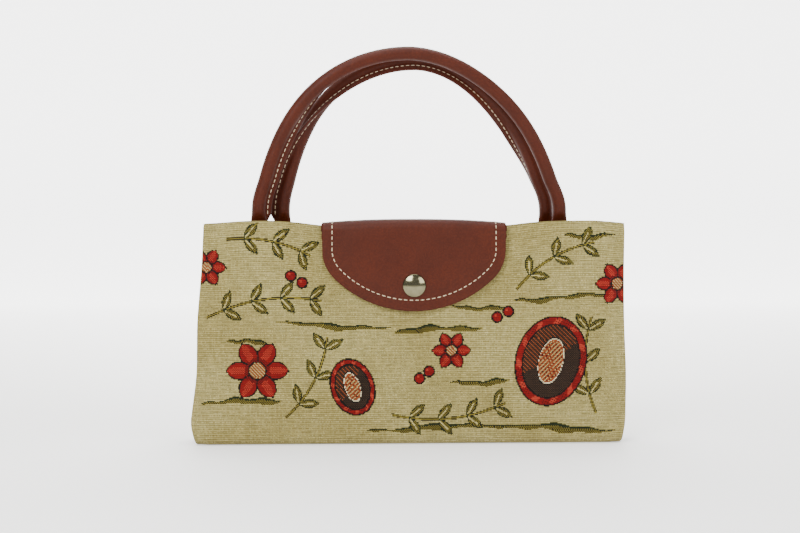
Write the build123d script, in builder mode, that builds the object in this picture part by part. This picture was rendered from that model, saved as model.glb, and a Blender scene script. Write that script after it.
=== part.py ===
from build123d import *
import os
from math import atan2, cos, degrees, pi, radians, sin

# A fold-away tapestry tote bag, folded in half and standing on its fold, in millimetres.
# X runs to the right as the bag is seen from the front, Y to the back and Z up.
# The origin is the middle of the flat strip that the folded bag stands on.

os.makedirs("parts", exist_ok=True)

# Folded bag, seen from the front
bag_width = 304.0
bag_height = 158.6
left_swell = 5.4
left_corner_swell = 10.4
right_swell = 1.8
right_corner_swell = 1.4
corner_swell_height = 11.0
corner_tuck = 2.0
top_dip_under_flap = 2.0
top_rise_beside_flap = 2.2

# Folded bag, seen from the side
cloth = 1.2
outer_half_depth = 17.9
outer_fold_radius = 7.6
pocket = 12.6
sewn_gap = 0.1
crease_gap = 0.3

# Gussets and base panel, pleated in between the panels
pleat_depth = 60.0
pleat_seam_flat = 6.0
pleat_end_gap = 0.2
gusset_top_below_hem = 13.0
fold_flats = 3

# Zip in the mouth of the bag
tape_thickness = 0.8
tape_skirt = 5.0
tape_below_hem = 3.3
tape_side_margin = 6.0
coil_width = 1.5
coil_height = 1.8
coil_gap = 1.2
coil_side_margin = 9.0
stop_length = 2.0
stop_width = 4.8
slider_length = 9.0
slider_plate = 1.0
slider_neck = 0.6
slider_clearance = 0.4
slider_flange = 0.8
bridge_width = 1.6
bridge_leg = 1.2
bridge_opening = 1.8
bridge_crown = 0.8
puller_length = 17.0
puller_width = 5.4
puller_thickness = 1.0
puller_hole = 6.0
puller_arm = 1.1
puller_bar = 1.2
puller_corner = 1.6

# Flap
flap_width = 133.0
flap_bottom = 96.5
flap_bottom_radius = 82.0
flap_bottom_arc = 90.0
flap_outer_layer = 1.2
flap_backing_layer = 0.8
flap_bend_radius = 5.0
flap_stand_off = 3.2
flap_over_top = 4.0
anchor_height = 42.0
anchor_corner = 14.0
hinge_clearance = 0.3

# Snap fastener
snap_height = 115.0
cap_diameter = 16.6
cap_dome = 3.2
cap_rim = 0.9
shank_diameter = 3.2
shank_clearance = 0.05
shank_hole_clearance = 0.15
socket_diameter = 11.6
socket_bore = 6.6
socket_floor = 0.4
socket_clearance = 0.3
stud_base_diameter = 11.0
stud_base_thickness = 0.6
stud_base_chamfer = 0.6
stud_diameter = 5.8
stud_tip_diameter = 2.6
stud_height = 1.9
post_diameter = 10.0
post_thickness = 0.8
post_share = 0.7
socket_chamfer = 0.6
cap_sides = 16
shank_sides = 10

# Handles
handle_diameter = 10.0
cover_wall = 1.2
core_clearance = 0.1
seam_flange = 3.6
seam_flange_thickness = 2.0
hinge_above_top = 9.2
arch_crown_angle = 62.0
cover_sides = 10
core_sides = 6
side_flats = 3
foot_straight = 4.0
crown_flats = 18
foot_height = 4.6
foot_end_radius = 1.9
front_handle_x = -2.2
front_half_span = 110.0
front_rise = 115.3
front_flange_turn = 0.0
rear_handle_x = 2.6
rear_half_span = 98.0
rear_rise = 108.0
rear_flange_turn = -90.0
tab_width = 17.0
tab_thickness = 2.4
tab_height = 42.0

# Woven motifs, as raised fields of colour
field_relief = 0.25
field_edge_margin = 1.0
field_floor = 9.0
stem_width = 2.0
leaf_length = 13.0
leaf_width = 5.2
rosette_petals = 6
oval_sides = 12

# Places that follow from the sizes above
half_width = bag_width / 2
outer_inside = outer_half_depth - cloth
inner_outside = outer_inside - pocket
inner_half_depth = inner_outside - cloth
inner_bottom = cloth + pocket
inner_fold_radius = inner_outside - 0.5
pleat_middle = outer_inside - pocket / 2
hem_height = bag_height - top_dip_under_flap
tape_top = hem_height - tape_below_hem
flap_inner_height = hem_height + flap_over_top
flap_thickness = flap_outer_layer + flap_backing_layer
flap_inner_y = -outer_half_depth - flap_stand_off
flap_hinge_y = outer_half_depth + flap_thickness / 2
flap_hinge_z = flap_inner_height + flap_thickness / 2
handle_hinge_z = bag_height + hinge_above_top
handle_radius = handle_diameter / 2
front_handle_y = inner_half_depth - tab_thickness / 2
rear_handle_y = outer_half_depth + tab_thickness / 2
reach = 2 * outer_half_depth + bag_width


def front_outline(inset=0.0):
    """Give the silhouette of the folded bag, seen from the front."""
    left = -half_width + inset
    right = half_width - inset
    top = bag_height - inset
    with BuildSketch() as outline:
        with BuildLine():
            Polyline(
                (left, top),
                (left - 0.25 * left_swell, 0.8 * bag_height),
                (left - 0.95 * left_swell, 0.56 * bag_height),
                (left - left_swell, 0.32 * bag_height),
                (left - left_corner_swell, corner_swell_height),
                (left - 0.4 * left_corner_swell, 0.0),
                (right - corner_tuck, 0.0),
                (right + right_corner_swell, corner_swell_height),
                (right + right_swell, 0.32 * bag_height),
                (right, 0.56 * bag_height),
                (right - 0.2 * right_swell, 0.8 * bag_height),
                (right, top),
                (0.93 * right, top + top_rise_beside_flap),
                (0.63 * right, top + 0.9 * top_rise_beside_flap),
                (0.42 * right, top - 0.8 * top_dip_under_flap),
                (0.42 * left, top - top_dip_under_flap),
                (0.6 * left, top + 0.7 * top_rise_beside_flap),
                (0.8 * left, top + top_rise_beside_flap),
                close=True,
            )
        make_face()
    return outline.sketch


def fold_band(outer_half, outer_bottom, outer_radius, inner_half, inner_low, inner_radius):
    """Give the section of a layer that comes down, round the fold and up again."""
    with BuildSketch() as band:
        with BuildLine():
            FilletPolyline(
                (-outer_half, reach),
                (-outer_half, outer_bottom),
                (outer_half, outer_bottom),
                (outer_half, reach),
                radius=outer_radius,
            )
            Line((outer_half, reach), (inner_half, reach))
            FilletPolyline(
                (inner_half, reach),
                (inner_half, inner_low),
                (-inner_half, inner_low),
                (-inner_half, reach),
                radius=inner_radius,
            )
            Line((-inner_half, reach), (-outer_half, reach))
        make_face()
    return band.sketch


def fold_points(half, bottom, radius):
    """Give the corners of a fold from its front arm to its rear arm, each bend in three short flats."""
    rear = []
    for step in range(fold_flats + 1):
        angle = radians(90 * step / fold_flats)
        rear.append((half - radius + radius * sin(angle), bottom + radius - radius * cos(angle)))
    front = [(-y, z) for y, z in reversed(rear)]
    return [(-half, reach)] + front + rear + [(half, reach)]


def pleat_band(outer_half, outer_bottom, outer_radius, inner_half, inner_low, inner_radius):
    """Give the section of a gusset round the fold, in flats that stay parallel from seam to crease."""
    outer = fold_points(outer_half, outer_bottom, outer_radius)
    inner = fold_points(inner_half, inner_low, inner_radius)
    with BuildSketch() as band:
        with BuildLine():
            Polyline(*outer, *reversed(inner), close=True)
        make_face()
    return band.sketch


def pocket_band(inset):
    """Give the section of the space between the two panels, drawn in from both by the inset."""
    return pleat_band(
        outer_inside - inset,
        cloth + inset,
        outer_fold_radius - cloth - inset,
        inner_outside + inset,
        inner_bottom - inset,
        inner_fold_radius + inset,
    )


def crease_band(half_thickness):
    """Give the section of the gusset at its crease, midway between the two panels."""
    middle_bottom = cloth + pocket / 2
    middle_radius = inner_fold_radius + pocket / 4
    return pleat_band(
        pleat_middle + half_thickness,
        middle_bottom - half_thickness,
        middle_radius + half_thickness,
        pleat_middle - half_thickness,
        middle_bottom + half_thickness,
        middle_radius - half_thickness,
    )


def base_window(gap):
    """Give the front view of the pleated base, wide at the seams and narrow at its crease."""
    crease_half = half_width - pleat_depth - gap
    crease_z = bag_height - pleat_depth
    slope_top = crease_z + 2 * pleat_depth
    with BuildSketch() as window:
        with BuildLine():
            Polyline(
                (-crease_half, 0.0),
                (crease_half, 0.0),
                (crease_half, crease_z),
                (crease_half + 2 * pleat_depth, slope_top),
                (-crease_half - 2 * pleat_depth, slope_top),
                (-crease_half, crease_z),
                close=True,
            )
        make_face()
    return window.sketch


def rounded_plate(width, height, corner, top):
    """Give a plate that hangs down from its straight top edge to rounded lower corners."""
    with BuildSketch() as plate:
        with BuildLine():
            FilletPolyline(
                (-width / 2, top),
                (-width / 2, top - height),
                (width / 2, top - height),
                (width / 2, top),
                radius=corner,
            )
            Line((width / 2, top), (-width / 2, top))
        make_face()
    return plate.sketch


# Back panel: the rear face, the fold that the bag stands on, and the face seen in front
with BuildPart() as back_panel:
    with BuildSketch(Plane.YZ.offset(-bag_width)):
        add(
            fold_band(
                outer_half_depth, 0.0, outer_fold_radius, outer_inside, cloth, outer_fold_radius - cloth
            )
        )
    extrude(amount=2 * bag_width)
    with BuildSketch(Plane.XZ):
        add(front_outline())
    extrude(amount=reach, both=True, mode=Mode.INTERSECT)
    with BuildSketch(Plane.XZ):
        with Locations((0, snap_height)):
            RegularPolygon(shank_diameter / 2 + shank_hole_clearance, shank_sides)
    extrude(amount=reach, mode=Mode.SUBTRACT)

# Front panel: doubled inside the fold, its outer face against itself
with BuildPart() as front_panel:
    with BuildSketch(Plane.YZ.offset(-bag_width)):
        add(
            fold_band(
                inner_outside, inner_bottom, inner_fold_radius, inner_half_depth, inner_bottom + cloth,
                inner_fold_radius - cloth,
            )
        )
    extrude(amount=2 * bag_width)
    with BuildSketch(Plane.XZ):
        add(front_outline())
    extrude(amount=reach, both=True, mode=Mode.INTERSECT)


def pleated_gusset(side):
    """Make the gusset of one side: a deep V between the panels that follows them round the fold."""
    mouth_x = side * 1.2 * half_width
    flat_x = side * (half_width - pleat_seam_flat)
    crease_x = side * (half_width - pleat_depth)
    inner_crease_x = side * (half_width - pleat_depth + cloth)
    with BuildPart() as gusset:
        with BuildSketch(Plane.YZ.offset(mouth_x)):
            add(pocket_band(sewn_gap))
        with BuildSketch(Plane.YZ.offset(flat_x)):
            add(pocket_band(sewn_gap))
        loft(ruled=True)
        with BuildSketch(Plane.YZ.offset(flat_x)):
            add(pocket_band(sewn_gap))
        with BuildSketch(Plane.YZ.offset(crease_x)):
            add(crease_band(cloth + crease_gap / 2))
        loft(ruled=True)
        with BuildSketch(Plane.YZ.offset(mouth_x)):
            add(pocket_band(sewn_gap + cloth))
        with BuildSketch(Plane.YZ.offset(flat_x)):
            add(pocket_band(sewn_gap + cloth))
        loft(ruled=True, mode=Mode.SUBTRACT)
        with BuildSketch(Plane.YZ.offset(flat_x)):
            add(pocket_band(sewn_gap + cloth))
        with BuildSketch(Plane.YZ.offset(inner_crease_x)):
            add(crease_band(crease_gap / 2))
        loft(ruled=True, mode=Mode.SUBTRACT)
        with BuildSketch(Plane.XZ):
            add(front_outline())
        extrude(amount=reach, both=True, mode=Mode.INTERSECT)
        # The folded-up end is mitred against the base panel
        with BuildSketch(Plane.XZ):
            add(base_window(0.0))
        extrude(amount=reach, mode=Mode.SUBTRACT)
        # The other end stops below the zip
        with BuildSketch(Plane.XY.offset(hem_height - gusset_top_below_hem)):
            with Locations((0, reach / 2)):
                Rectangle(reach, reach)
        extrude(amount=reach, mode=Mode.SUBTRACT)
    return gusset


left_gusset = pleated_gusset(-1)
right_gusset = pleated_gusset(1)

# Base panel: pleated down between the two folded-up bottom edges
pleat_flat_z = bag_height - pleat_seam_flat
pleat_crease_z = bag_height - pleat_depth
pleat_front = -outer_inside + sewn_gap
pleat_rear = -inner_outside - sewn_gap
crease_half_thickness = cloth + crease_gap / 2
with BuildPart() as base_panel:
    with BuildSketch(Plane.YZ.offset(-bag_width)):
        with BuildLine():
            Polyline(
                (pleat_front, reach),
                (pleat_front, pleat_flat_z),
                (-pleat_middle - crease_half_thickness, pleat_crease_z),
                (-pleat_middle + crease_half_thickness, pleat_crease_z),
                (pleat_rear, pleat_flat_z),
                (pleat_rear, reach),
                (pleat_rear - cloth, reach),
                (pleat_rear - cloth, pleat_flat_z),
                (-pleat_middle + crease_gap / 2, pleat_crease_z + cloth),
                (-pleat_middle - crease_gap / 2, pleat_crease_z + cloth),
                (pleat_front + cloth, pleat_flat_z),
                (pleat_front + cloth, reach),
                close=True,
            )
        make_face()
    extrude(amount=2 * bag_width)
    with BuildSketch(Plane.XZ):
        add(front_outline())
    extrude(amount=reach, mode=Mode.INTERSECT)
    with BuildSketch(Plane.XZ):
        add(base_window(pleat_end_gap))
    extrude(amount=reach, mode=Mode.INTERSECT)

# Zip: a tape inside each hem, with half of the coil on its edge
tape_length = bag_width - 2 * tape_side_margin
coil_length = bag_width - 2 * coil_side_margin
mouth_middle = pleat_middle


def zip_tape(side):
    """Make one tape: a skirt against the hem and a shelf that reaches to the coil."""
    wall_y = mouth_middle + side * (pocket / 2 - sewn_gap)
    edge_y = mouth_middle + side * coil_gap / 2
    skirt_y = wall_y - side * tape_thickness
    with BuildPart() as tape:
        with BuildSketch(Plane.YZ.offset(-tape_length / 2)):
            with BuildLine():
                Polyline(
                    (wall_y, tape_top - tape_skirt),
                    (wall_y, tape_top),
                    (edge_y, tape_top),
                    (edge_y, tape_top - tape_thickness),
                    (skirt_y, tape_top - tape_thickness),
                    (skirt_y, tape_top - tape_skirt),
                    close=True,
                )
            make_face()
        extrude(amount=tape_length)
    return tape


def zip_coil(side):
    """Make half of the coil, a bar with a rounded outer edge that lies on its tape."""
    inner_y = mouth_middle + side * coil_gap / 2
    outer_y = inner_y + side * coil_width
    with BuildPart() as coil:
        with BuildSketch(Plane.YZ.offset(-coil_length / 2)):
            with BuildLine():
                Polyline(
                    (inner_y, tape_top),
                    (inner_y, tape_top + coil_height),
                    (outer_y - side * coil_width / 2, tape_top + coil_height),
                    (outer_y, tape_top + coil_height / 2),
                    (outer_y, tape_top),
                    close=True,
                )
            make_face()
        extrude(amount=coil_length)
    return coil


zip_tape_front = zip_tape(-1)
zip_tape_rear = zip_tape(1)
zip_coil_front = zip_coil(-1)
zip_coil_rear = zip_coil(1)

# End stops: small metal staples over both halves of the coil, just past its ends
stop_x = coil_length / 2 + stop_length / 2


def zip_stop(side):
    """Make the end stop of one side, seated on both tapes."""
    with BuildPart() as stop:
        with BuildSketch(Plane.XY.offset(tape_top)):
            with Locations((side * stop_x, mouth_middle)):
                Rectangle(stop_length, stop_width)
        extrude(amount=coil_height + 0.4)
        fillet(stop.edges().group_by(Axis.Z)[-1], 0.4)
    return stop


zip_stop_left = zip_stop(-1)
zip_stop_right = zip_stop(1)

# Slider: two plates joined by a thin neck, flanges beside the coil and a bridge for the puller
slider_x = -coil_length / 2 + slider_length / 2 + slider_clearance
slider_half_width = coil_gap / 2 + coil_width + slider_clearance + slider_flange
plate_bottom = tape_top + coil_height + slider_clearance
plate_top = plate_bottom + slider_plate
under_plate_top = tape_top - tape_thickness - slider_clearance
bar_height = plate_top + bridge_opening / 2
with BuildPart() as zip_slider:
    with BuildSketch(Plane.XY.offset(plate_bottom)):
        with Locations((slider_x, mouth_middle)):
            RectangleRounded(slider_length, 2 * slider_half_width, 2.0)
    extrude(amount=slider_plate)
    with BuildSketch(Plane.XY.offset(under_plate_top)):
        with Locations((slider_x, mouth_middle)):
            RectangleRounded(slider_length, 2 * slider_half_width, 2.0)
    extrude(amount=-slider_plate)
    with BuildSketch(Plane.XY.offset(under_plate_top)):
        with Locations((slider_x, mouth_middle)):
            Rectangle(slider_length / 2, slider_neck)
    extrude(amount=plate_bottom - under_plate_top)
    with BuildSketch(Plane.XY.offset(tape_top + slider_clearance)):
        with Locations((slider_x, mouth_middle)):
            with GridLocations(0, 2 * slider_half_width - slider_flange, 1, 2):
                Rectangle(slider_length - 4.0, slider_flange)
    extrude(amount=plate_bottom - tape_top - slider_clearance)
    with BuildSketch(Plane.XZ.offset(-mouth_middle)):
        with Locations((slider_x, plate_top)):
            Rectangle(
                2 * bridge_leg + slider_length / 2,
                bridge_opening + bridge_crown,
                align=(Align.CENTER, Align.MIN),
            )
            Rectangle(
                slider_length / 2,
                bridge_opening,
                align=(Align.CENTER, Align.MIN),
                mode=Mode.SUBTRACT,
            )
    extrude(amount=bridge_width / 2, both=True)

# Puller: a plate whose end bar turns under the bridge of the slider
with BuildPart() as zip_puller:
    with BuildSketch(Plane.XY.offset(bar_height - puller_thickness / 2)):
        with Locations((slider_x + puller_length / 2, mouth_middle)):
            Rectangle(puller_length, puller_width)
        fillet(vertices().group_by(Axis.X)[-1], puller_corner)
        with Locations((slider_x + puller_bar / 2 + puller_hole / 2, mouth_middle)):
            Rectangle(puller_hole, puller_width - 2 * puller_arm, mode=Mode.SUBTRACT)
    extrude(amount=puller_thickness)
    with BuildSketch(Plane.XZ.offset(-mouth_middle)):
        with Locations((slider_x, bar_height)):
            Circle(puller_bar / 2)
    extrude(amount=puller_width / 2, both=True)


def flap_outline():
    """Give the front view of the flap: straight sides, round corners and a shallow round bottom."""
    flap_half = flap_width / 2
    half_arc = radians(flap_bottom_arc / 2)
    corner_radius = (flap_half - flap_bottom_radius * sin(half_arc)) / (1 - cos(half_arc))
    arc_end_z = flap_bottom + flap_bottom_radius * (1 - cos(half_arc))
    side_z = arc_end_z + corner_radius * sin(half_arc)
    with BuildSketch() as outline:
        with BuildLine():
            right_corner = JernArc((flap_half, side_z), (0, -1), corner_radius, -flap_bottom_arc / 2)
            bottom = JernArc(right_corner @ 1, right_corner % 1, flap_bottom_radius, -flap_bottom_arc)
            left_corner = JernArc(bottom @ 1, bottom % 1, corner_radius, -flap_bottom_arc / 2)
            Line(left_corner @ 1, (-flap_half, reach))
            Line((-flap_half, reach), (flap_half, reach))
            Line((flap_half, reach), (flap_half, side_z))
        make_face()
    return outline.sketch


def flap_section(inner, thickness):
    """Give the side view of one layer of the flap, from its hinge over the top and down in front."""
    inner_z = flap_inner_height + inner
    inner_y = flap_inner_y - inner
    bend = flap_bend_radius + inner
    with BuildSketch() as section:
        with BuildLine():
            FilletPolyline(
                (flap_hinge_y, inner_z), (inner_y, inner_z), (inner_y, 0.0), radius=bend
            )
            Line((inner_y, 0.0), (inner_y - thickness, 0.0))
            FilletPolyline(
                (inner_y - thickness, 0.0),
                (inner_y - thickness, inner_z + thickness),
                (flap_hinge_y, inner_z + thickness),
                radius=bend + thickness,
            )
            Line((flap_hinge_y, inner_z + thickness), (flap_hinge_y, inner_z))
        make_face()
    return section.sketch


def flap_layer(inner, thickness):
    """Make one layer of the flap, with the hole that the shank of the snap's cap goes through."""
    with BuildPart() as layer:
        with BuildSketch(Plane.YZ.offset(-bag_width)):
            add(flap_section(inner, thickness))
        extrude(amount=2 * bag_width)
        with BuildSketch(Plane.XZ):
            add(flap_outline())
        extrude(amount=reach, both=True, mode=Mode.INTERSECT)
        with BuildSketch(Plane.XZ):
            with Locations((0, snap_height)):
                RegularPolygon(shank_diameter / 2 + shank_hole_clearance, shank_sides)
        extrude(amount=reach, mode=Mode.SUBTRACT)
    return layer


flap_backing = flap_layer(0.0, flap_backing_layer)
flap_outer = flap_layer(flap_backing_layer, flap_outer_layer)

# Sewn end of the flap, flat on the rear face below the line that the flap bends on
anchor_top = flap_inner_height - hinge_clearance
with BuildPart() as flap_anchor:
    with BuildSketch(Plane.XZ.offset(-outer_half_depth)):
        add(rounded_plate(flap_width, anchor_height, anchor_corner, anchor_top))
    extrude(amount=-flap_thickness)

# Snap: every piece is round about the same line through the flap and the face behind it
flap_outer_y = flap_inner_y - flap_thickness
face_y = -outer_half_depth
shank_radius = shank_diameter / 2
cap_radius = cap_diameter / 2
dome_height = cap_dome - cap_rim
socket_depth = flap_stand_off - stud_base_thickness - socket_clearance
socket_mouth_y = flap_inner_y + socket_depth
stud_face_y = face_y - stud_base_thickness
stud_tip_y = stud_face_y - stud_height
stud_bore_y = stud_face_y - stud_height / 2
post_y = face_y + cloth
post_radius = shank_radius * post_share


def flat_taper(start_radius, end_radius, depth, sides):
    """Give the angle in degrees at which a round piece of flats narrows over a depth."""
    return degrees(atan2((start_radius - end_radius) * cos(pi / sides), depth))


def round_piece(sides, *steps):
    """Make a round piece of flats from its radii at steps from the front to the back."""
    with BuildPart() as piece:
        for (y, radius), (next_y, next_radius) in zip(steps, steps[1:]):
            with BuildSketch(Plane((0, y, snap_height), x_dir=(1, 0, 0), z_dir=(0, 1, 0))):
                RegularPolygon(radius, sides)
            extrude(amount=next_y - y, taper=flat_taper(radius, next_radius, next_y - y, sides))
    return piece.part


with BuildPart() as snap_cap:
    add(
        round_piece(
            cap_sides,
            (flap_outer_y - cap_dome, 0.3 * cap_radius),
            (flap_outer_y - cap_rim - 0.72 * dome_height, 0.6 * cap_radius),
            (flap_outer_y - cap_rim - 0.34 * dome_height, 0.85 * cap_radius),
            (flap_outer_y - cap_rim, cap_radius),
            (flap_outer_y, cap_radius - 0.5 * cap_rim),
        )
    )
    add(round_piece(shank_sides, (flap_outer_y, shank_radius), (flap_inner_y + socket_floor, shank_radius)))

with BuildPart() as snap_socket:
    add(
        round_piece(
            cap_sides,
            (flap_inner_y, socket_diameter / 2),
            (socket_mouth_y - socket_chamfer, socket_diameter / 2),
            (socket_mouth_y, socket_diameter / 2 - socket_chamfer),
        )
    )
    add(
        round_piece(shank_sides, (flap_inner_y + socket_floor, socket_bore / 2), (socket_mouth_y, socket_bore / 2)),
        mode=Mode.SUBTRACT,
    )
    add(
        round_piece(
            shank_sides,
            (flap_inner_y, shank_radius + shank_clearance),
            (flap_inner_y + socket_floor, shank_radius + shank_clearance),
        ),
        mode=Mode.SUBTRACT,
    )

with BuildPart() as snap_stud:
    add(
        round_piece(
            cap_sides,
            (stud_face_y, stud_base_diameter / 2 - stud_base_chamfer),
            (face_y, stud_base_diameter / 2),
        )
    )
    add(round_piece(shank_sides, (stud_tip_y, stud_tip_diameter / 2), (stud_face_y, stud_diameter / 2)))
    add(
        round_piece(
            shank_sides,
            (stud_bore_y, post_radius + shank_clearance),
            (face_y, post_radius + shank_clearance),
        ),
        mode=Mode.SUBTRACT,
    )

with BuildPart() as snap_post:
    add(round_piece(cap_sides, (post_y, post_diameter / 2), (post_y + post_thickness, post_diameter / 2)))
    add(round_piece(shank_sides, (face_y, shank_radius), (post_y, shank_radius)))
    add(round_piece(shank_sides, (stud_bore_y, post_radius), (face_y, post_radius)))


def arch_points(half_span, rise):
    """Give the centre line of a handle: two side arcs that meet a crown arc, in short flats."""
    crown = radians(arch_crown_angle)
    share = sin(crown) + cos(crown) - 1
    crown_radius = (half_span * cos(crown) - rise * (1 - sin(crown))) / share
    side_radius = (rise * sin(crown) - half_span * (1 - cos(crown))) / share
    side_angle = radians(90) - crown
    left_side = [(-half_span, 0.0), (-half_span, foot_straight)]
    for step in range(1, side_flats):
        turn = side_angle * step / side_flats
        left_side.append((-half_span + side_radius * (1 - cos(turn)), side_radius * sin(turn)))
    top = []
    for step in range(crown_flats + 1):
        turn = crown * (2 * step / crown_flats - 1)
        top.append((crown_radius * sin(turn), rise - crown_radius * (1 - cos(turn))))
    right_side = [(-x, z) for x, z in reversed(left_side)]
    return left_side + top + right_side


def handle_plane(centre_x, y):
    """Give the upright plane of a handle, with its origin between the two hinge points."""
    return Plane(origin=(centre_x, y, handle_hinge_z), x_dir=(1, 0, 0), z_dir=(0, -1, 0))


def handle_cover(centre_x, y, half_span, rise, flange_turn):
    """Make the leatherette cover: a tube with a sewn flange and closed ends that taper.

    The flange lies inside the arch, turned about the tube towards the rear by its turn in degrees.
    """
    foot_left = Plane((centre_x - half_span, y, handle_hinge_z))
    foot_right = Plane((centre_x + half_span, y, handle_hinge_z))
    bore_radius = handle_radius - cover_wall
    with BuildPart() as cover:
        with BuildLine(handle_plane(centre_x, y)) as path:
            Polyline(*arch_points(half_span, rise))
        with BuildSketch(foot_left):
            RegularPolygon(handle_radius, cover_sides)
            with PolarLocations((handle_radius + seam_flange + bore_radius) / 2, 1, start_angle=flange_turn):
                Rectangle(handle_radius + seam_flange - bore_radius, seam_flange_thickness)
            RegularPolygon(bore_radius, core_sides, mode=Mode.SUBTRACT)
        sweep(path=path.wires()[0], transition=Transition.RIGHT)
        with BuildSketch(foot_left, foot_right):
            RegularPolygon(handle_radius, cover_sides)
        extrude(amount=-foot_height, taper=flat_taper(handle_radius, foot_end_radius, foot_height, cover_sides))
    return cover


def handle_core(centre_x, y, half_span, rise):
    """Make the filler cord inside the cover."""
    core_radius = handle_radius - cover_wall - core_clearance
    with BuildPart() as core:
        with BuildLine(handle_plane(centre_x, y)) as path:
            Polyline(*arch_points(half_span, rise))
        with BuildSketch(Plane((centre_x - half_span, y, handle_hinge_z))):
            RegularPolygon(core_radius, core_sides)
        sweep(path=path.wires()[0], transition=Transition.RIGHT)
    return core


front_handle = (front_handle_x, front_handle_y, front_half_span, front_rise, front_flange_turn)
rear_handle = (rear_handle_x, rear_handle_y, rear_half_span, rear_rise, rear_flange_turn)
front_handle_cover = handle_cover(*front_handle)
front_handle_core = handle_core(front_handle_x, front_handle_y, front_half_span, front_rise)
rear_handle_cover = handle_cover(*rear_handle)
rear_handle_core = handle_core(rear_handle_x, rear_handle_y, rear_half_span, rear_rise)

# Sewn ends of the handles, flat on the outer faces of the two upper panels
tab_top = handle_hinge_z - handle_radius - hinge_clearance
tab_end_radius = 0.45 * tab_width


def handle_tab(foot_x, middle_y):
    """Make one sewn tab below the foot of a handle."""
    with BuildPart() as tab:
        with BuildSketch(Plane((foot_x, middle_y, 0), x_dir=(1, 0, 0), z_dir=(0, -1, 0))):
            add(rounded_plate(tab_width, tab_height, tab_end_radius, tab_top))
        extrude(amount=tab_thickness / 2, both=True)
    return tab


front_handle_tab_left = handle_tab(front_handle_x - front_half_span, front_handle_y)
front_handle_tab_right = handle_tab(front_handle_x + front_half_span, front_handle_y)
rear_handle_tab_left = handle_tab(rear_handle_x - rear_half_span, rear_handle_y)
rear_handle_tab_right = handle_tab(rear_handle_x + rear_half_span, rear_handle_y)

# Woven motifs. Fruits: centre x, centre z, half width, half height, turn in degrees
fruits = [
    (99.0, 60.0, 25.0, 32.0, -14.0),
    (-44.0, 42.0, 15.0, 20.0, 18.0),
]
# Rosettes: centre x, centre z, radius
rosettes = [
    (-112.0, 54.0, 21.0),
    (147.0, 116.0, 15.0),
    (27.0, 68.0, 13.0),
    (-148.0, 128.0, 13.0),
]
# Sprigs: start, end, bow to the left of the way from start to end, pairs of leaves
sprigs = [
    ((-148.0, 92.0), (-66.0, 104.0), 7.0, 4),
    ((-92.0, 20.0), (-62.0, 78.0), -6.0, 3),
    ((-16.0, 22.0), (66.0, 30.0), -7.0, 4),
    ((74.0, 112.0), (130.0, 146.0), 6.0, 3),
    ((-134.0, 148.0), (-74.0, 136.0), 5.0, 3),
    ((132.0, 22.0), (128.0, 92.0), 6.0, 3),
]
# Berries: centre x, centre z
berries = [
    (-88.0, 122.0), (-80.0, 117.0), (4.0, 48.0), (11.0, 53.0), (60.0, 92.0), (68.0, 96.0),
]
berry_radius = 3.2
leaf_angle = 48.0
first_leaf_share = 0.6


def sprig_arc(start, end, bow):
    """Give the middle point of a sprig's stem."""
    start_point = Vector(*start)
    end_point = Vector(*end)
    way = (end_point - start_point).normalized()
    return (start_point + end_point) * 0.5 + Vector(-way.Y, way.X) * bow


def leaf_places(start, end, bow, pairs):
    """Give the centre and the turn in degrees of each leaf of a sprig."""
    stem = ThreePointArc(start, sprig_arc(start, end, bow), end, mode=Mode.PRIVATE)
    places = []
    for pair in range(pairs):
        share = (pair + first_leaf_share) / pairs
        along = stem % share
        turn = degrees(atan2(along.Y, along.X))
        for side in (-1, 1):
            leaf_turn = turn + side * leaf_angle
            step = stem_width / 2 + leaf_length / 2
            aim = Vector(cos(radians(leaf_turn)), sin(radians(leaf_turn)))
            places.append((stem @ share + aim * step, leaf_turn))
    return places


def draw_oval(half_x, half_z, turn, mode):
    """Draw an oval in woven steps."""
    corners = []
    for step in range(oval_sides):
        angle = radians(360 * step / oval_sides)
        corners.append((half_x * cos(angle), half_z * sin(angle)))
    Polygon(*corners, rotation=turn, mode=mode)


def draw_lozenge(length, width, turn, mode):
    """Draw a pointed leaf or petal."""
    Polygon((-length / 2, 0), (0, -width / 2), (length / 2, 0), (0, width / 2), rotation=turn, mode=mode)


def draw_hearts(mode):
    """Draw the tan hearts of the fruits and rosettes."""
    for x, z, half_x, half_z, turn in fruits:
        with Locations((x, z)):
            draw_oval(0.34 * half_x, 0.5 * half_z, turn, mode)
    for x, z, radius in rosettes:
        with Locations((x, z)):
            RegularPolygon(0.27 * radius, rosette_petals, mode=mode)


def draw_bodies(mode):
    """Draw the dark bodies of the fruits."""
    for x, z, half_x, half_z, turn in fruits:
        with Locations((x, z)):
            draw_oval(0.84 * half_x, 0.86 * half_z, turn, mode)


def draw_reds(mode):
    """Draw the red rims of the fruits, the petals of the rosettes and the berries."""
    for x, z, half_x, half_z, turn in fruits:
        with Locations((x, z)):
            draw_oval(half_x, half_z, turn, mode)
    for x, z, radius in rosettes:
        with Locations((x, z)):
            with PolarLocations(0.61 * radius, rosette_petals):
                draw_lozenge(0.78 * radius, 0.44 * radius, 0, mode)
    with Locations(*berries):
        RegularPolygon(berry_radius, rosette_petals, mode=mode)


def stem_line(start, end, bow):
    """Draw a sprig's stem in two straight stretches."""
    with BuildLine() as stem:
        Polyline(start, sprig_arc(start, end, bow), end)
    return stem.line


def draw_stems(mode):
    """Draw the dark stems of the sprigs."""
    for start, end, bow, _ in sprigs:
        trace(stem_line(start, end, bow), line_width=stem_width, mode=mode)


def draw_leaves(mode):
    """Draw the green leaves of the sprigs."""
    for start, end, bow, pairs in sprigs:
        for centre, turn in leaf_places(start, end, bow, pairs):
            with Locations(centre):
                draw_lozenge(leaf_length, leaf_width, turn, mode)


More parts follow.
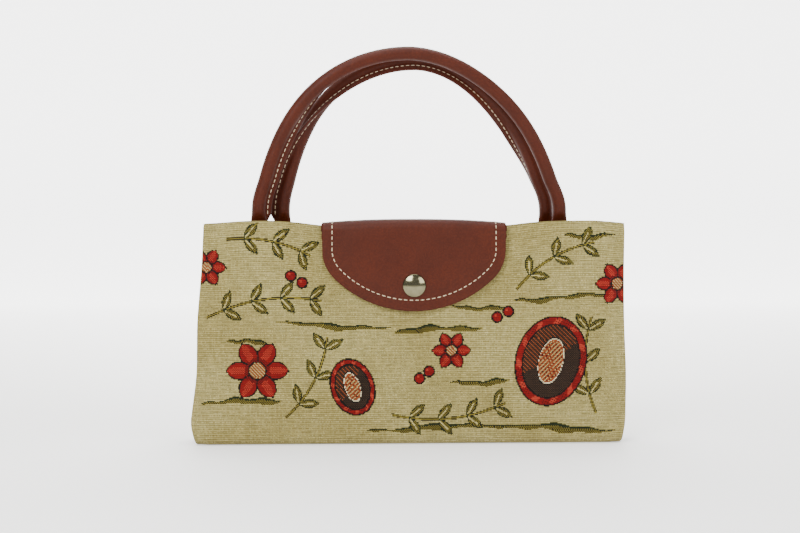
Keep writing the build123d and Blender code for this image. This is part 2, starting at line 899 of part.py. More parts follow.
def woven_field(draw_colour, covers):
    """Make one colour of the print on the front face and, with the same layout, on the rear face."""
    with BuildSketch() as front_print:
        draw_colour(Mode.ADD)
        for cover in covers:
            cover(Mode.SUBTRACT)
        with Locations((0, field_floor)):
            Rectangle(2 * bag_width, reach, align=(Align.CENTER, Align.MIN), mode=Mode.INTERSECT)
    # The rear face stays plain under the sewn ends of the flap and the handles
    with BuildSketch() as rear_print:
        add(front_print.sketch)
        seen_from_behind = mirror(front_outline(field_edge_margin), about=Plane.YZ, mode=Mode.PRIVATE)
        add(seen_from_behind, mode=Mode.INTERSECT)
        with Locations((0, field_floor)):
            Rectangle(2 * bag_width, rear_field_height, align=(Align.CENTER, Align.MIN), mode=Mode.INTERSECT)
    with BuildSketch() as front_print_trimmed:
        add(front_print.sketch)
        add(front_outline(field_edge_margin), mode=Mode.INTERSECT)
    with BuildPart() as field:
        with BuildSketch(Plane.XZ.offset(outer_half_depth)):
            add(front_print_trimmed.sketch)
        extrude(amount=field_relief)
        with BuildSketch(Plane((0, outer_half_depth, 0), x_dir=(-1, 0, 0), z_dir=(0, 1, 0))):
            add(rear_print.sketch)
        extrude(amount=field_relief)
    return field


rear_field_height = anchor_top - anchor_height - field_floor - 3.0 * field_edge_margin
woven_field_tan = woven_field(draw_hearts, [])
woven_field_dark = woven_field(draw_bodies, [draw_hearts])
woven_field_red = woven_field(draw_reds, [draw_hearts, draw_bodies])
woven_field_stems = woven_field(draw_stems, [draw_hearts, draw_reds])
woven_field_green = woven_field(draw_leaves, [draw_reds, draw_stems])

pieces = {
    "back_panel": back_panel,
    "front_panel": front_panel,
    "base_panel": base_panel,
    "left_gusset": left_gusset,
    "right_gusset": right_gusset,
    "zip_tape_front": zip_tape_front,
    "zip_tape_rear": zip_tape_rear,
    "zip_coil_front": zip_coil_front,
    "zip_coil_rear": zip_coil_rear,
    "zip_stop_left": zip_stop_left,
    "zip_stop_right": zip_stop_right,
    "zip_slider": zip_slider,
    "zip_puller": zip_puller,
    "flap_outer": flap_outer,
    "flap_backing": flap_backing,
    "flap_anchor": flap_anchor,
    "snap_cap": snap_cap,
    "snap_socket": snap_socket,
    "snap_stud": snap_stud,
    "snap_post": snap_post,
    "front_handle_cover": front_handle_cover,
    "front_handle_core": front_handle_core,
    "rear_handle_cover": rear_handle_cover,
    "rear_handle_core": rear_handle_core,
    "front_handle_tab_left": front_handle_tab_left,
    "front_handle_tab_right": front_handle_tab_right,
    "rear_handle_tab_left": rear_handle_tab_left,
    "rear_handle_tab_right": rear_handle_tab_right,
    "woven_field_tan": woven_field_tan,
    "woven_field_dark": woven_field_dark,
    "woven_field_red": woven_field_red,
    "woven_field_stems": woven_field_stems,
    "woven_field_green": woven_field_green,
}

for name, piece in pieces.items():
    piece.part.label = name
    export_step(piece.part, f"parts/{name}.step")
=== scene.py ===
"""Looks of a fold-away tapestry tote bag, folded and standing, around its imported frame."""

import logging
import math
from dataclasses import dataclass, field
from enum import Enum

import bpy
import numpy as np
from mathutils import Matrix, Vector


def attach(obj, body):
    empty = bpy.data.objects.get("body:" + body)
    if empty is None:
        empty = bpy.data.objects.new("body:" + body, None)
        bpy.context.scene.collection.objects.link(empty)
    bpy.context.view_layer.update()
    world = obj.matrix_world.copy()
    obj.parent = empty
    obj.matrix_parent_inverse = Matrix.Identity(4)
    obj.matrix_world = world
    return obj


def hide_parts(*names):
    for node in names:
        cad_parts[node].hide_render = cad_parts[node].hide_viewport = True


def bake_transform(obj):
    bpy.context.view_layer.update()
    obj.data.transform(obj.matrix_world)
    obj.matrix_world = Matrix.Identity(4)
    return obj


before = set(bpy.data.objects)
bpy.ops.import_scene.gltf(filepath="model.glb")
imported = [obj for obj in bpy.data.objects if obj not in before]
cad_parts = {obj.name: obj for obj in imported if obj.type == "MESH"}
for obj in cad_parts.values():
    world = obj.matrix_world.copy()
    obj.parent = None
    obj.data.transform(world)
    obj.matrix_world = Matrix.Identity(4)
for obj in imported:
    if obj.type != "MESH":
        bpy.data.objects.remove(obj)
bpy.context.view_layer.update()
LOG = logging.getLogger("tote")

Array = np.ndarray
Material = bpy.types.Material
Piece = bpy.types.Object
Socket = bpy.types.NodeSocket
Tree = bpy.types.NodeTree
MM = 0.001
MIX_FACTOR, MIX_A, MIX_B, MIX_RESULT = 0, 6, 7, 2
# One band of a wave texture at a scale of 1
WAVE_BAND = math.pi / 10


def ease(share: Array) -> Array:
    """Give a smooth step from 0 to 1: three t squared less two t cubed, with t held from 0 to 1."""
    held = np.clip(share, 0.0, 1.0)
    return held * held * (3.0 - 2.0 * held)


def linear(hex_colour: str) -> tuple[float, float, float, float]:
    """Turn an sRGB hex colour into linear values.

    Args:
        hex_colour: Six hex digits after a hash.

    Returns:
        Red, green, blue and an alpha of 1.
    """
    parts = [int(hex_colour[k:k + 2], 16) / 255 for k in (1, 3, 5)]
    values = [p / 12.92 if p <= 0.04045 else ((p + 0.055) / 1.055) ** 2.4 for p in parts]
    return (*values, 1.0)


def add(tree: Tree, kind: str, values: dict | None = None, output: int | str = 0) -> Socket:
    """Add a node, set it up and give one of its outputs.

    Args:
        tree: The node tree.
        kind: The node's type, less its ShaderNode prefix.
        values: Settings by attribute name, and inputs by name or index. An output socket is linked to its
            input, a hex colour is turned to linear values, and any other value is set as it is.
        output: Name or index of the output.

    Returns:
        The output's socket.
    """
    node = tree.nodes.new(f"ShaderNode{kind}")
    for key, value in (values or {}).items():
        if isinstance(value, Socket):
            tree.links.new(value, node.inputs[key])
        elif isinstance(key, int) or key in node.inputs:
            node.inputs[key].default_value = linear(value) if isinstance(value, str) else value
        else:
            setattr(node, key, value)
    return node.outputs[output]


def tinted(tree: Tree, base: str | Socket, layers: tuple, blend: str = "MIX") -> Socket:
    """Lay colours over a base colour, one after the other.

    Args:
        tree: The node tree.
        base: The base, a hex colour or a socket.
        layers: For each colour, the value that it follows, where in that value's range it starts and where
            it is full, its share when full, and its hex.
        blend: How each colour is laid on.

    Returns:
        The last colour's socket.
    """
    for source, start, full, share, colour in layers:
        values = {"Value": source, "From Min": start, "From Max": full, "To Max": share}
        factor = add(tree, "MapRange", values)
        values = {"data_type": "RGBA", "blend_type": blend, MIX_FACTOR: factor, MIX_A: base, MIX_B: colour}
        base = add(tree, "Mix", values, MIX_RESULT)
    return base


def new_material(name: str) -> tuple[Material, Tree]:
    """Start a material with an empty node tree."""
    material = bpy.data.materials.new(name)
    material.use_nodes = True
    material.node_tree.nodes.clear()
    return material, material.node_tree


def set_shader(tree: Tree, constants: dict, linked: dict) -> None:
    """End a node tree with a principled shader.

    Args:
        tree: The node tree.
        constants: Values that are set on the shader's own sockets.
        linked: Output sockets by the input that each feeds.
    """
    surface = add(tree, "BsdfPrincipled", constants)
    for key, socket in linked.items():
        tree.links.new(socket, surface.node.inputs[key])
    result = tree.nodes.new("ShaderNodeOutputMaterial")
    tree.links.new(surface, result.inputs["Surface"])


@dataclass(frozen=True)
class JacquardTapestry:
    """Jacquard tapestry, woven from thick matt weft over a fine warp: ribbed, soft, with no shine.

    Sizes are in millimetres, as in every finish, and a pair of them goes across and along the cloth.
    """

    name: str = "jacquard_tapestry"
    rib_pitch: float = 1.45
    warp_pitch: float = 1.1
    rib_depth: float = 0.16
    warp_share: float = 0.35
    slub_share: float = 2.2
    slub_size: tuple = (10.0, 1.3333)
    streak_size: tuple = (1.1111, 16.67)
    fleck_size: tuple = (1.1111, 1.1111)
    patch_size: tuple = (55.56, 55.56)

    def build(self) -> Material:
        """Colour comes from the thread attribute; ribs follow the cloth's own map, in millimetres."""
        material, tree = new_material(self.name)
        thread = add(tree, "Attribute", {"attribute_name": "thread"}, "Color")
        flat = add(tree, "UVMap", {"uv_map": "cloth"}, "UV")
        waves = []
        # Weft ribs are finer on the real cloth, about 0.9 mm; this pitch is the finest that shows
        for axis, pitch in enumerate((self.warp_pitch, self.rib_pitch)):
            way = add(tree, "SeparateXYZ", {0: flat}, axis)
            angle = add(tree, "Math", {"operation": "MULTIPLY", 0: way, 1: 2 * math.pi / pitch})
            waves.append(add(tree, "Math", {"operation": "SINE", 0: angle}))
        warp, rib = waves
        clouds = []
        for size, detail in (
            (self.slub_size, 3.0), (self.streak_size, 2.0), (self.fleck_size, 4.0), (self.patch_size, 2.0),
        ):
            stretched = add(tree, "Mapping", {"Vector": flat, "Scale": (1 / size[0], 1 / size[1], 1.0)})
            clouds.append(add(tree, "TexNoise", {"Vector": stretched, "Scale": 1.0, "Detail": detail}))
        slub, streak, fleck, patch = clouds
        tone = tinted(tree, "#dcdcdc", ((slub, 0.35, 0.68, 1.0, "#ffffff"),))
        tone = tinted(tree, tone, (
            (streak, 0.36, 0.66, 0.6, "#e2ded8"),
            (fleck, 0.42, 0.62, 0.35, "#e8dcc8"),
            (patch, 0.4, 0.6, 0.5, "#ded8c4"),
            # Painted shade: the troughs between the weft ribs are darkened, where the bump sinks
            (rib, -0.1, -1.0, 0.7, "#b0a996"),
        ), "MULTIPLY")
        values = {"data_type": "RGBA", "blend_type": "MULTIPLY", MIX_FACTOR: 1.0, MIX_A: thread, MIX_B: tone}
        colour = add(tree, "Mix", values, MIX_RESULT)
        height = add(tree, "Math", {"operation": "MULTIPLY_ADD", 0: warp, 1: self.warp_share, 2: rib})
        height = add(tree, "Math", {"operation": "MULTIPLY_ADD", 0: slub, 1: self.slub_share, 2: height})
        bump = add(tree, "Bump", {"Strength": 0.55, "Distance": self.rib_depth * MM, "Height": height})
        set_shader(tree, {
            "Roughness": 0.92, "Specular IOR Level": 0.12, "Sheen Weight": 0.05, "Sheen Roughness": 0.6,
        }, {"Base Color": colour, "Normal": bump})
        return material


@dataclass(frozen=True)
class Leatherette:
    """Coated cloth embossed with a fine pebble grain: satin, warm brown, darker in blotches, with painted
    shade in the hollows between the pebbles.
    """

    name: str = "brown_leatherette"
    colour: str = "#431503"
    # Darker brown for the random blotches, and painted shade in the grain's hollows
    shade: str = "#330e02"
    bloom: str = "#5b2811"
    grain: float = 1.5
    grain_depth: float = 0.22
    blotch_size: float = 26.3
    fine_size: float = 1.111
    roughness: float = 0.5

    def build(self) -> Material:
        """Grain cells and soft blotches lie on Object coordinates."""
        material, tree = new_material(self.name)
        place = add(tree, "TexCoord", output="Object")
        # The real pebbles are about 0.8 mm across; this size is the finest that shows
        values = {"feature": "F1", "Vector": place, "Scale": 1 / (self.grain * MM), "Randomness": 0.9}
        cells = add(tree, "TexVoronoi", values, "Distance")
        values = {"Vector": place, "Scale": 1 / (self.blotch_size * MM), "Detail": 4.0}
        blotch = add(tree, "TexNoise", values)
        fine = add(tree, "TexNoise", {"Vector": place, "Scale": 1 / (self.fine_size * MM), "Detail": 3.0})
        colour = tinted(tree, self.colour, (
            (blotch, 0.35, 0.65, 0.6, self.shade),
            (fine, 0.45, 0.75, 0.25, self.bloom),
            # Painted shade: the hollows between the grain cells are darkened, where the bump sinks
            (cells, 0.35, 0.75, 0.5, self.shade),
        ))
        rough = add(tree, "MapRange", {
            "Value": fine, "From Min": 0.3, "From Max": 0.7,
            "To Min": self.roughness - 0.05, "To Max": self.roughness + 0.1,
        })
        height = add(tree, "Math", {"operation": "MULTIPLY", 0: fine, 1: 0.8})
        height = add(tree, "Math", {"operation": "MULTIPLY_ADD", 0: cells, 1: -0.7, 2: height})
        bump = add(tree, "Bump", {"Strength": 0.6, "Distance": self.grain_depth * MM, "Height": height})
        set_shader(
            tree, {"Roughness": self.roughness, "Specular IOR Level": 0.17},
            {"Base Color": colour, "Roughness": rough, "Normal": bump},
        )
        return material


@dataclass(frozen=True)
class PolishedMetal:
    """Nickel plate over brass, buffed to a mirror with a faint warm cast and hairline scratches."""

    name: str = "polished_nickel"
    colour: str = "#7a755b"
    shade: str = "#585540"
    roughness: float = 0.13
    scratch_length: float = 2.5
    scratch_width: float = 0.4
    cloud_size: float = 4.167

    def build(self) -> Material:
        """Scratches are noise stretched along X on Object coordinates."""
        material, tree = new_material(self.name)
        place = add(tree, "TexCoord", output="Object")
        long, fine = (1 / (size * MM) for size in (self.scratch_length, self.scratch_width))
        drawn = add(tree, "Mapping", {"Vector": place, "Scale": (long, fine, fine)})
        hair = add(tree, "TexNoise", {"Vector": drawn, "Scale": 1.0, "Detail": 3.0})
        cloud = add(tree, "TexNoise", {"Vector": place, "Scale": 1 / (self.cloud_size * MM), "Detail": 2.0})
        colour = tinted(tree, self.colour, ((cloud, 0.3, 0.7, 0.5, self.shade),))
        rough = add(tree, "MapRange", {
            "Value": hair, "From Min": 0.35, "From Max": 0.7,
            "To Min": self.roughness * 0.7, "To Max": self.roughness * 1.7,
        })
        set_shader(
            tree, {"Metallic": 1.0, "Roughness": self.roughness}, {"Base Color": colour, "Roughness": rough}
        )
        return material


@dataclass(frozen=True)
class TwistedThread:
    """Bonded sewing thread of several plies: satin, with the ply lines running across it."""

    name: str
    colour: str
    shade: str
    pitch: float = 0.987
    relief: float = 0.1

    def build(self) -> Material:
        """Ply lines are bands on Object coordinates, slanted by a turned mapping."""
        material, tree = new_material(self.name)
        place = add(tree, "TexCoord", output="Object")
        slanted = add(tree, "Mapping", {"Vector": place, "Rotation": (0.0, 0.6, 0.6)})
        values = {"Vector": slanted, "Scale": WAVE_BAND / (self.pitch * MM), "Distortion": 1.5}
        bands = add(tree, "TexWave", values, "Fac")
        # Painted shade: the thread darkens in the grooves between the plies, where the bump sinks
        colour = tinted(tree, self.shade, ((bands, 0.2, 0.8, 1.0, self.colour),))
        bump = add(tree, "Bump", {"Strength": 0.4, "Distance": self.relief * MM, "Height": bands})
        set_shader(tree, {"Roughness": 0.6, "Sheen Weight": 0.15}, {"Base Color": colour, "Normal": bump})
        return material


@dataclass(frozen=True)
class WovenTape:
    """Polyester twill tape: matt, with fine slanting ribs and painted shade between them."""

    name: str = "zip_tape_twill"
    colour: str = "#4a3024"
    shade: str = "#33201a"
    pitch: float = 1.382
    relief: float = 0.1

    def build(self) -> Material:
        """Ribs are slanted waves on Object coordinates."""
        material, tree = new_material(self.name)
        place = add(tree, "TexCoord", output="Object")
        slanted = add(tree, "Mapping", {"Vector": place, "Rotation": (0.0, 0.7, 0.0)})
        values = {"Vector": slanted, "Scale": WAVE_BAND / (self.pitch * MM), "Distortion": 0.6}
        rows = add(tree, "TexWave", values, "Fac")
        # Painted shade: the colour darkens between the ribs, where the bump sinks
        colour = tinted(tree, self.shade, ((rows, 0.0, 1.0, 1.0, self.colour),))
        bump = add(tree, "Bump", {"Strength": 0.5, "Distance": self.relief * MM, "Height": rows})
        set_shader(tree, {"Roughness": 0.85, "Sheen Weight": 0.2}, {"Base Color": colour, "Normal": bump})
        return material


@dataclass(frozen=True)
class NylonWire:
    """Drawn nylon monofilament: smooth and satin."""

    name: str = "nylon_coil"
    colour: str = "#4c3122"
    shade: str = "#38241a"
    cloud_size: float = 1.667

    def build(self) -> Material:
        """A faint cloud on Object coordinates keeps the colour from lying flat."""
        material, tree = new_material(self.name)
        place = add(tree, "TexCoord", output="Object")
        cloud = add(tree, "TexNoise", {"Vector": place, "Scale": 1 / (self.cloud_size * MM), "Detail": 2.0})
        colour = tinted(tree, self.colour, ((cloud, 0.0, 1.0, 1.0, self.shade),))
        set_shader(tree, {"Roughness": 0.38, "Specular IOR Level": 0.5}, {"Base Color": colour})
        return material


def make_piece(
    name: str, points: Array, faces: list[Array], material: Material, flat_map: Array | None = None,
    thread: Array | None = None,
) -> Piece:
    """Make a smooth mesh object from whole arrays.

    Args:
        name: The piece's name.
        points: Vertex places in millimetres, one row each.
        faces: Arrays of vertex numbers, one row a face, each array with its own corner count.
        material: Its finish.
        flat_map: The cloth's own map in millimetres, one row a vertex.
        thread: Linear colours, one row a face, in the order of the faces.

    Returns:
        The object, at the origin.
    """
    corners = np.concatenate([rows.reshape(-1) for rows in faces]).astype(np.int32)
    counts = np.concatenate([np.full(len(rows), rows.shape[1]) for rows in faces]).astype(np.int32)
    mesh = bpy.data.meshes.new(name)
    mesh.vertices.add(len(points))
    mesh.vertices.foreach_set("co", (points * MM).astype(np.float32).reshape(-1))
    mesh.loops.add(len(corners))
    mesh.loops.foreach_set("vertex_index", corners)
    mesh.polygons.add(len(counts))
    mesh.polygons.foreach_set("loop_start", (np.cumsum(counts) - counts).astype(np.int32))
    mesh.update(calc_edges=True)
    mesh.polygons.foreach_set("use_smooth", np.ones(len(counts), dtype=bool))
    if flat_map is not None:
        layer = mesh.uv_layers.new(name="cloth")
        layer.data.foreach_set("uv", flat_map[corners].astype(np.float32).reshape(-1))
    if thread is not None:
        colours = mesh.color_attributes.new(name="thread", type="FLOAT_COLOR", domain="CORNER")
        colours.data.foreach_set("color", np.repeat(thread, counts, axis=0).astype(np.float32).reshape(-1))
    mesh.materials.append(material)
    mesh.validate()
    piece = bpy.data.objects.new(name, mesh)
    bpy.context.scene.collection.objects.link(piece)
    LOG.info("%s: %d faces", name, len(counts))
    return piece


def grid_quads(rows: int, columns: int, first: int = 0, closed: bool = False) -> Array:
    """Give the quads of a grid of points, numbered row by row.

    Args:
        rows: Points along the first way.
        columns: Points along the second way.
        first: Number of the first point.
        closed: Whether the second way runs round to its start.

    Returns:
        Vertex numbers, four a quad, that turn from the first way to the second.
    """
    i = np.arange(rows - 1)[:, None]
    j = np.arange(columns if closed else columns - 1)[None, :]
    k = (j + 1) % columns
    corners = [i * columns + j, (i + 1) * columns + j, (i + 1) * columns + k, i * columns + k]
    return first + np.stack(corners, axis=-1).reshape(-1, 4)


def unit(vectors: Array) -> Array:
    """Scale each vector to length 1."""
    return vectors / np.maximum(np.linalg.norm(vectors, axis=-1, keepdims=True), 1e-9)


def grid_normals(places: Array) -> Array:
    """Give the normals of a grid: the first way's slope crossed with the second's."""
    return unit(np.cross(np.gradient(places, axis=0), np.gradient(places, axis=1)))


def sheet_shell(
    middle: Array, thickness: float, edge_steps: int = 3, coarse: int = 1
) -> tuple[Array, list[Array]]:
    """Give a closed sheet with a half-round edge about a grid of middle points.

    Each side lies half the thickness along the normal, and the edge turns through half a circle outside the
    boundary. The back may be a coarser grid, whose rim faces then have more corners.

    Args:
        middle: Grid of points, in millimetres.
        thickness: Thickness of the sheet.
        edge_steps: Steps round the edge.
        coarse: Cells of the front for each cell of the back, both ways.

    Returns:
        The points and the faces; the front's quads come first.
    """
    rows, columns = middle.shape[:2]
    normals = grid_normals(middle)
    half = thickness / 2
    down, over = np.arange(rows - 1), np.arange(columns - 1)
    i = np.concatenate([down, np.full_like(over, rows - 1), rows - 1 - down, np.zeros_like(over)])
    j = np.concatenate([np.zeros_like(down), over, np.full_like(down, columns - 1), columns - 1 - over])
    edge = middle[i, j]
    inward = middle[np.clip(i, 1, rows - 2), np.clip(j, 1, columns - 2)]
    up = normals[i, j]
    out = edge - inward
    out = unit(out - up * np.sum(out * up, axis=-1, keepdims=True))
    rings = []
    for step in range(1, edge_steps):
        turn = math.pi * step / edge_steps
        rings.append(edge + half * (up * math.cos(turn) + out * math.sin(turn)))
    back = (middle - half * normals)[::coarse, ::coarse]
    points = np.concatenate([(middle + half * normals).reshape(-1, 3), *rings, back.reshape(-1, 3)])
    loop = len(i)
    around = np.arange(loop)
    following = (around + 1) % loop
    faces = [grid_quads(rows, columns)]
    inner_ring = i * columns + j
    start = rows * columns
    for step in range(edge_steps - 1):
        ring = start + step * loop + around
        faces.append(np.stack([inner_ring, ring, ring[following], inner_ring[following]], axis=-1))
        inner_ring = ring
    back_first = start + (edge_steps - 1) * loop
    back_columns = back.shape[1]
    back_ring = back_first + (i[::coarse] // coarse) * back_columns + j[::coarse] // coarse
    spans = inner_ring.reshape(-1, coarse)
    after = np.roll(spans[:, 0], -1)
    rim = [spans[:, 0], back_ring, np.roll(back_ring, -1), after]
    rim += [spans[:, k] for k in range(coarse - 1, 0, -1)]
    faces.append(np.stack(rim, axis=-1))
    faces.append(grid_quads(back.shape[0], back_columns, back_first)[:, ::-1])
    return points, faces


def shell_map(flat_map: Array, edge_steps: int, coarse: int) -> Array:
    """Give the flat map of a sheet shell's points, from the grid's own map."""
    edge = np.concatenate([
        flat_map[:-1, 0], flat_map[-1, :-1], flat_map[:0:-1, -1], flat_map[0, :0:-1]
    ])
    return np.concatenate(
        [flat_map.reshape(-1, 2)] + [edge] * (edge_steps - 1) + [flat_map[::coarse, ::coarse].reshape(-1, 2)]
    )


def swept(path: Array, out: Array, across: Array, sections: Array) -> tuple[Array, list[Array]]:
    """Carry closed sections along a path, with flat ends.

    A point is the path's point, plus the section's first value along the outward way and its second along
    the way across.

    Args:
        path: Path points.
        out: Outward way at each path point.
        across: Way across at each path point.
        sections: Section points at each path point.

    Returns:
        The points and the faces.
    """
    places = path[:, None, :] + sections[..., :1] * out[:, None, :] + sections[..., 1:] * across[:, None, :]
    rows, columns = places.shape[:2]
    near_end = np.arange(columns)[None, :]
    far_end = (rows - 1) * columns + np.arange(columns)[None, ::-1]
    return places.reshape(-1, 3), [grid_quads(rows, columns, closed=True)[:, ::-1], near_end, far_end]


def turned(profile: Array, sides: int, centre: Array) -> tuple[Array, list[Array]]:
    """Turn a profile about the line through a centre that points to the front.

    Args:
        profile: Radius and distance to the front, one row a point.
        sides: Points round the line.
        centre: A point of the line, from which the distances count.

    Returns:
        The points and the faces.
    """
    angle = np.linspace(0, 2 * math.pi, sides, endpoint=False)
    ring = np.stack([np.cos(angle), np.zeros(sides), np.sin(angle)], axis=-1)
    places = profile[:, :1, None] * ring[None] + profile[:, 1:, None] * np.array([0.0, -1.0, 0.0]) + centre
    rows = len(profile)
    near_end = np.arange(sides)[None, ::-1]
    far_end = (rows - 1) * sides + np.arange(sides)[None, :]
    return places.reshape(-1, 3), [grid_quads(rows, sides, closed=True)[:, ::-1], near_end, far_end]


def softened(at: Array, places: tuple, values: tuple, reach: float) -> Array:
    """Give a broken line's value at some places, as the mean of five values within a reach each way."""
    return np.mean([np.interp(at + step, places, values) for step in np.linspace(-reach, reach, 5)], axis=0)


def turned_by(first: Array, second: Array, turn: Array) -> tuple[Array, Array]:
    """Turn a pair of values by an angle, from the first way to the second."""
    return first * np.cos(turn) - second * np.sin(turn), first * np.sin(turn) + second * np.cos(turn)


@dataclass
class StitchRow:
    """A row of thread lozenges that sit in a surface, worked out from one template."""

    length: float = 2.7
    width: float = 0.75
    height: float = 0.5
    pitch: float = 4.0
    sides: int = 8

    def places(self, line: Array, lift: Array) -> tuple[Array, Array, Array]:
        """Give even places along a line.

        Args:
            line: Points of the line.
            lift: The surface's upward way at each point.

        Returns:
            The places, the way along the line and the way up from the surface.
        """
        steps = np.linalg.norm(np.diff(line, axis=0), axis=1)
        run = np.concatenate([[0.0], np.cumsum(steps)])
        count = max(2, int(run[-1] / self.pitch))
        at = (np.arange(count) + 0.5) * run[-1] / count

        def read(rows: Array, ahead: float = 0.0) -> Array:
            """Read rows at the even places, or a little ahead of them."""
            return np.stack([np.interp(at + ahead, run, rows[:, k]) for k in range(3)], axis=-1)

        step = 0.3
        return read(line), unit(read(line, step) - read(line, -step)), unit(read(lift))

    def build(self, rows: list[tuple[Array, Array]]) -> tuple[Array, list[Array]]:
        """Make all stitches of some rows.

        A stitch is a rounded spindle: its radius is the root of one less the share along it squared.

        Args:
            rows: For each row, the line and the upward ways along it.

        Returns:
            The points and the faces.
        """
        share = np.array([-0.96, -0.7, 0.0, 0.7, 0.96])
        radius = np.sqrt(1 - share ** 2) ** 0.6
        angle = np.linspace(0, 2 * math.pi, self.sides, endpoint=False)
        along = np.repeat(share, self.sides) * self.length / 2
        side = (radius[:, None] * np.cos(angle)).reshape(-1) * self.width / 2
        rise = (radius[:, None] * np.sin(angle)).reshape(-1) * self.height / 2
        sets = [self.places(line, lift) for line, lift in rows]
        centre, ahead, up = (np.concatenate([s[k] for s in sets]) for k in range(3))
        beside = unit(np.cross(ahead, up))
        up = np.cross(beside, ahead)
        points = (
            centre[:, None, :] + along[None, :, None] * ahead[:, None, :]
            + side[None, :, None] * beside[:, None, :] + rise[None, :, None] * up[:, None, :]
        )
        size = len(along)
        shift = (np.arange(len(centre)) * size)[:, None, None]
        quads = grid_quads(len(share), self.sides, closed=True)
        ends = np.stack([np.arange(self.sides), (size - 1) - np.arange(self.sides)])
        return points.reshape(-1, 3), [
            (quads[None] + shift).reshape(-1, 4), (ends[None] + shift).reshape(-1, self.sides)
        ]


class Thread(Enum):
    """Threads of the tapestry, by their sRGB colour."""

    GROUND = "#a0965f"
    GROUND_DARK = "#8c8250"
    GROUND_LIGHT = "#b1a771"
    RED = "#760906"
    RED_DARK = "#430504"
    RED_LIGHT = "#a33323"
    BROWN = "#3c2a1d"
    BLACK = "#0c0805"
    RUST = "#8a4422"
    CREAM = "#e0d9bb"
    OLIVE = "#766b26"
    GREEN = "#1d260e"


@dataclass(frozen=True)
class Weave:
    """The threads of a face: their places in millimetres, their columns and rows, and their colours."""

    x: Array
    z: Array
    column: Array
    row: Array
    colour: Array

    def every(self, count: int, slope: int = 1) -> Array:
        """Tell which threads are one in a count along slanted rows, as in a twill."""
        return (self.column + slope * self.row) % count == 0


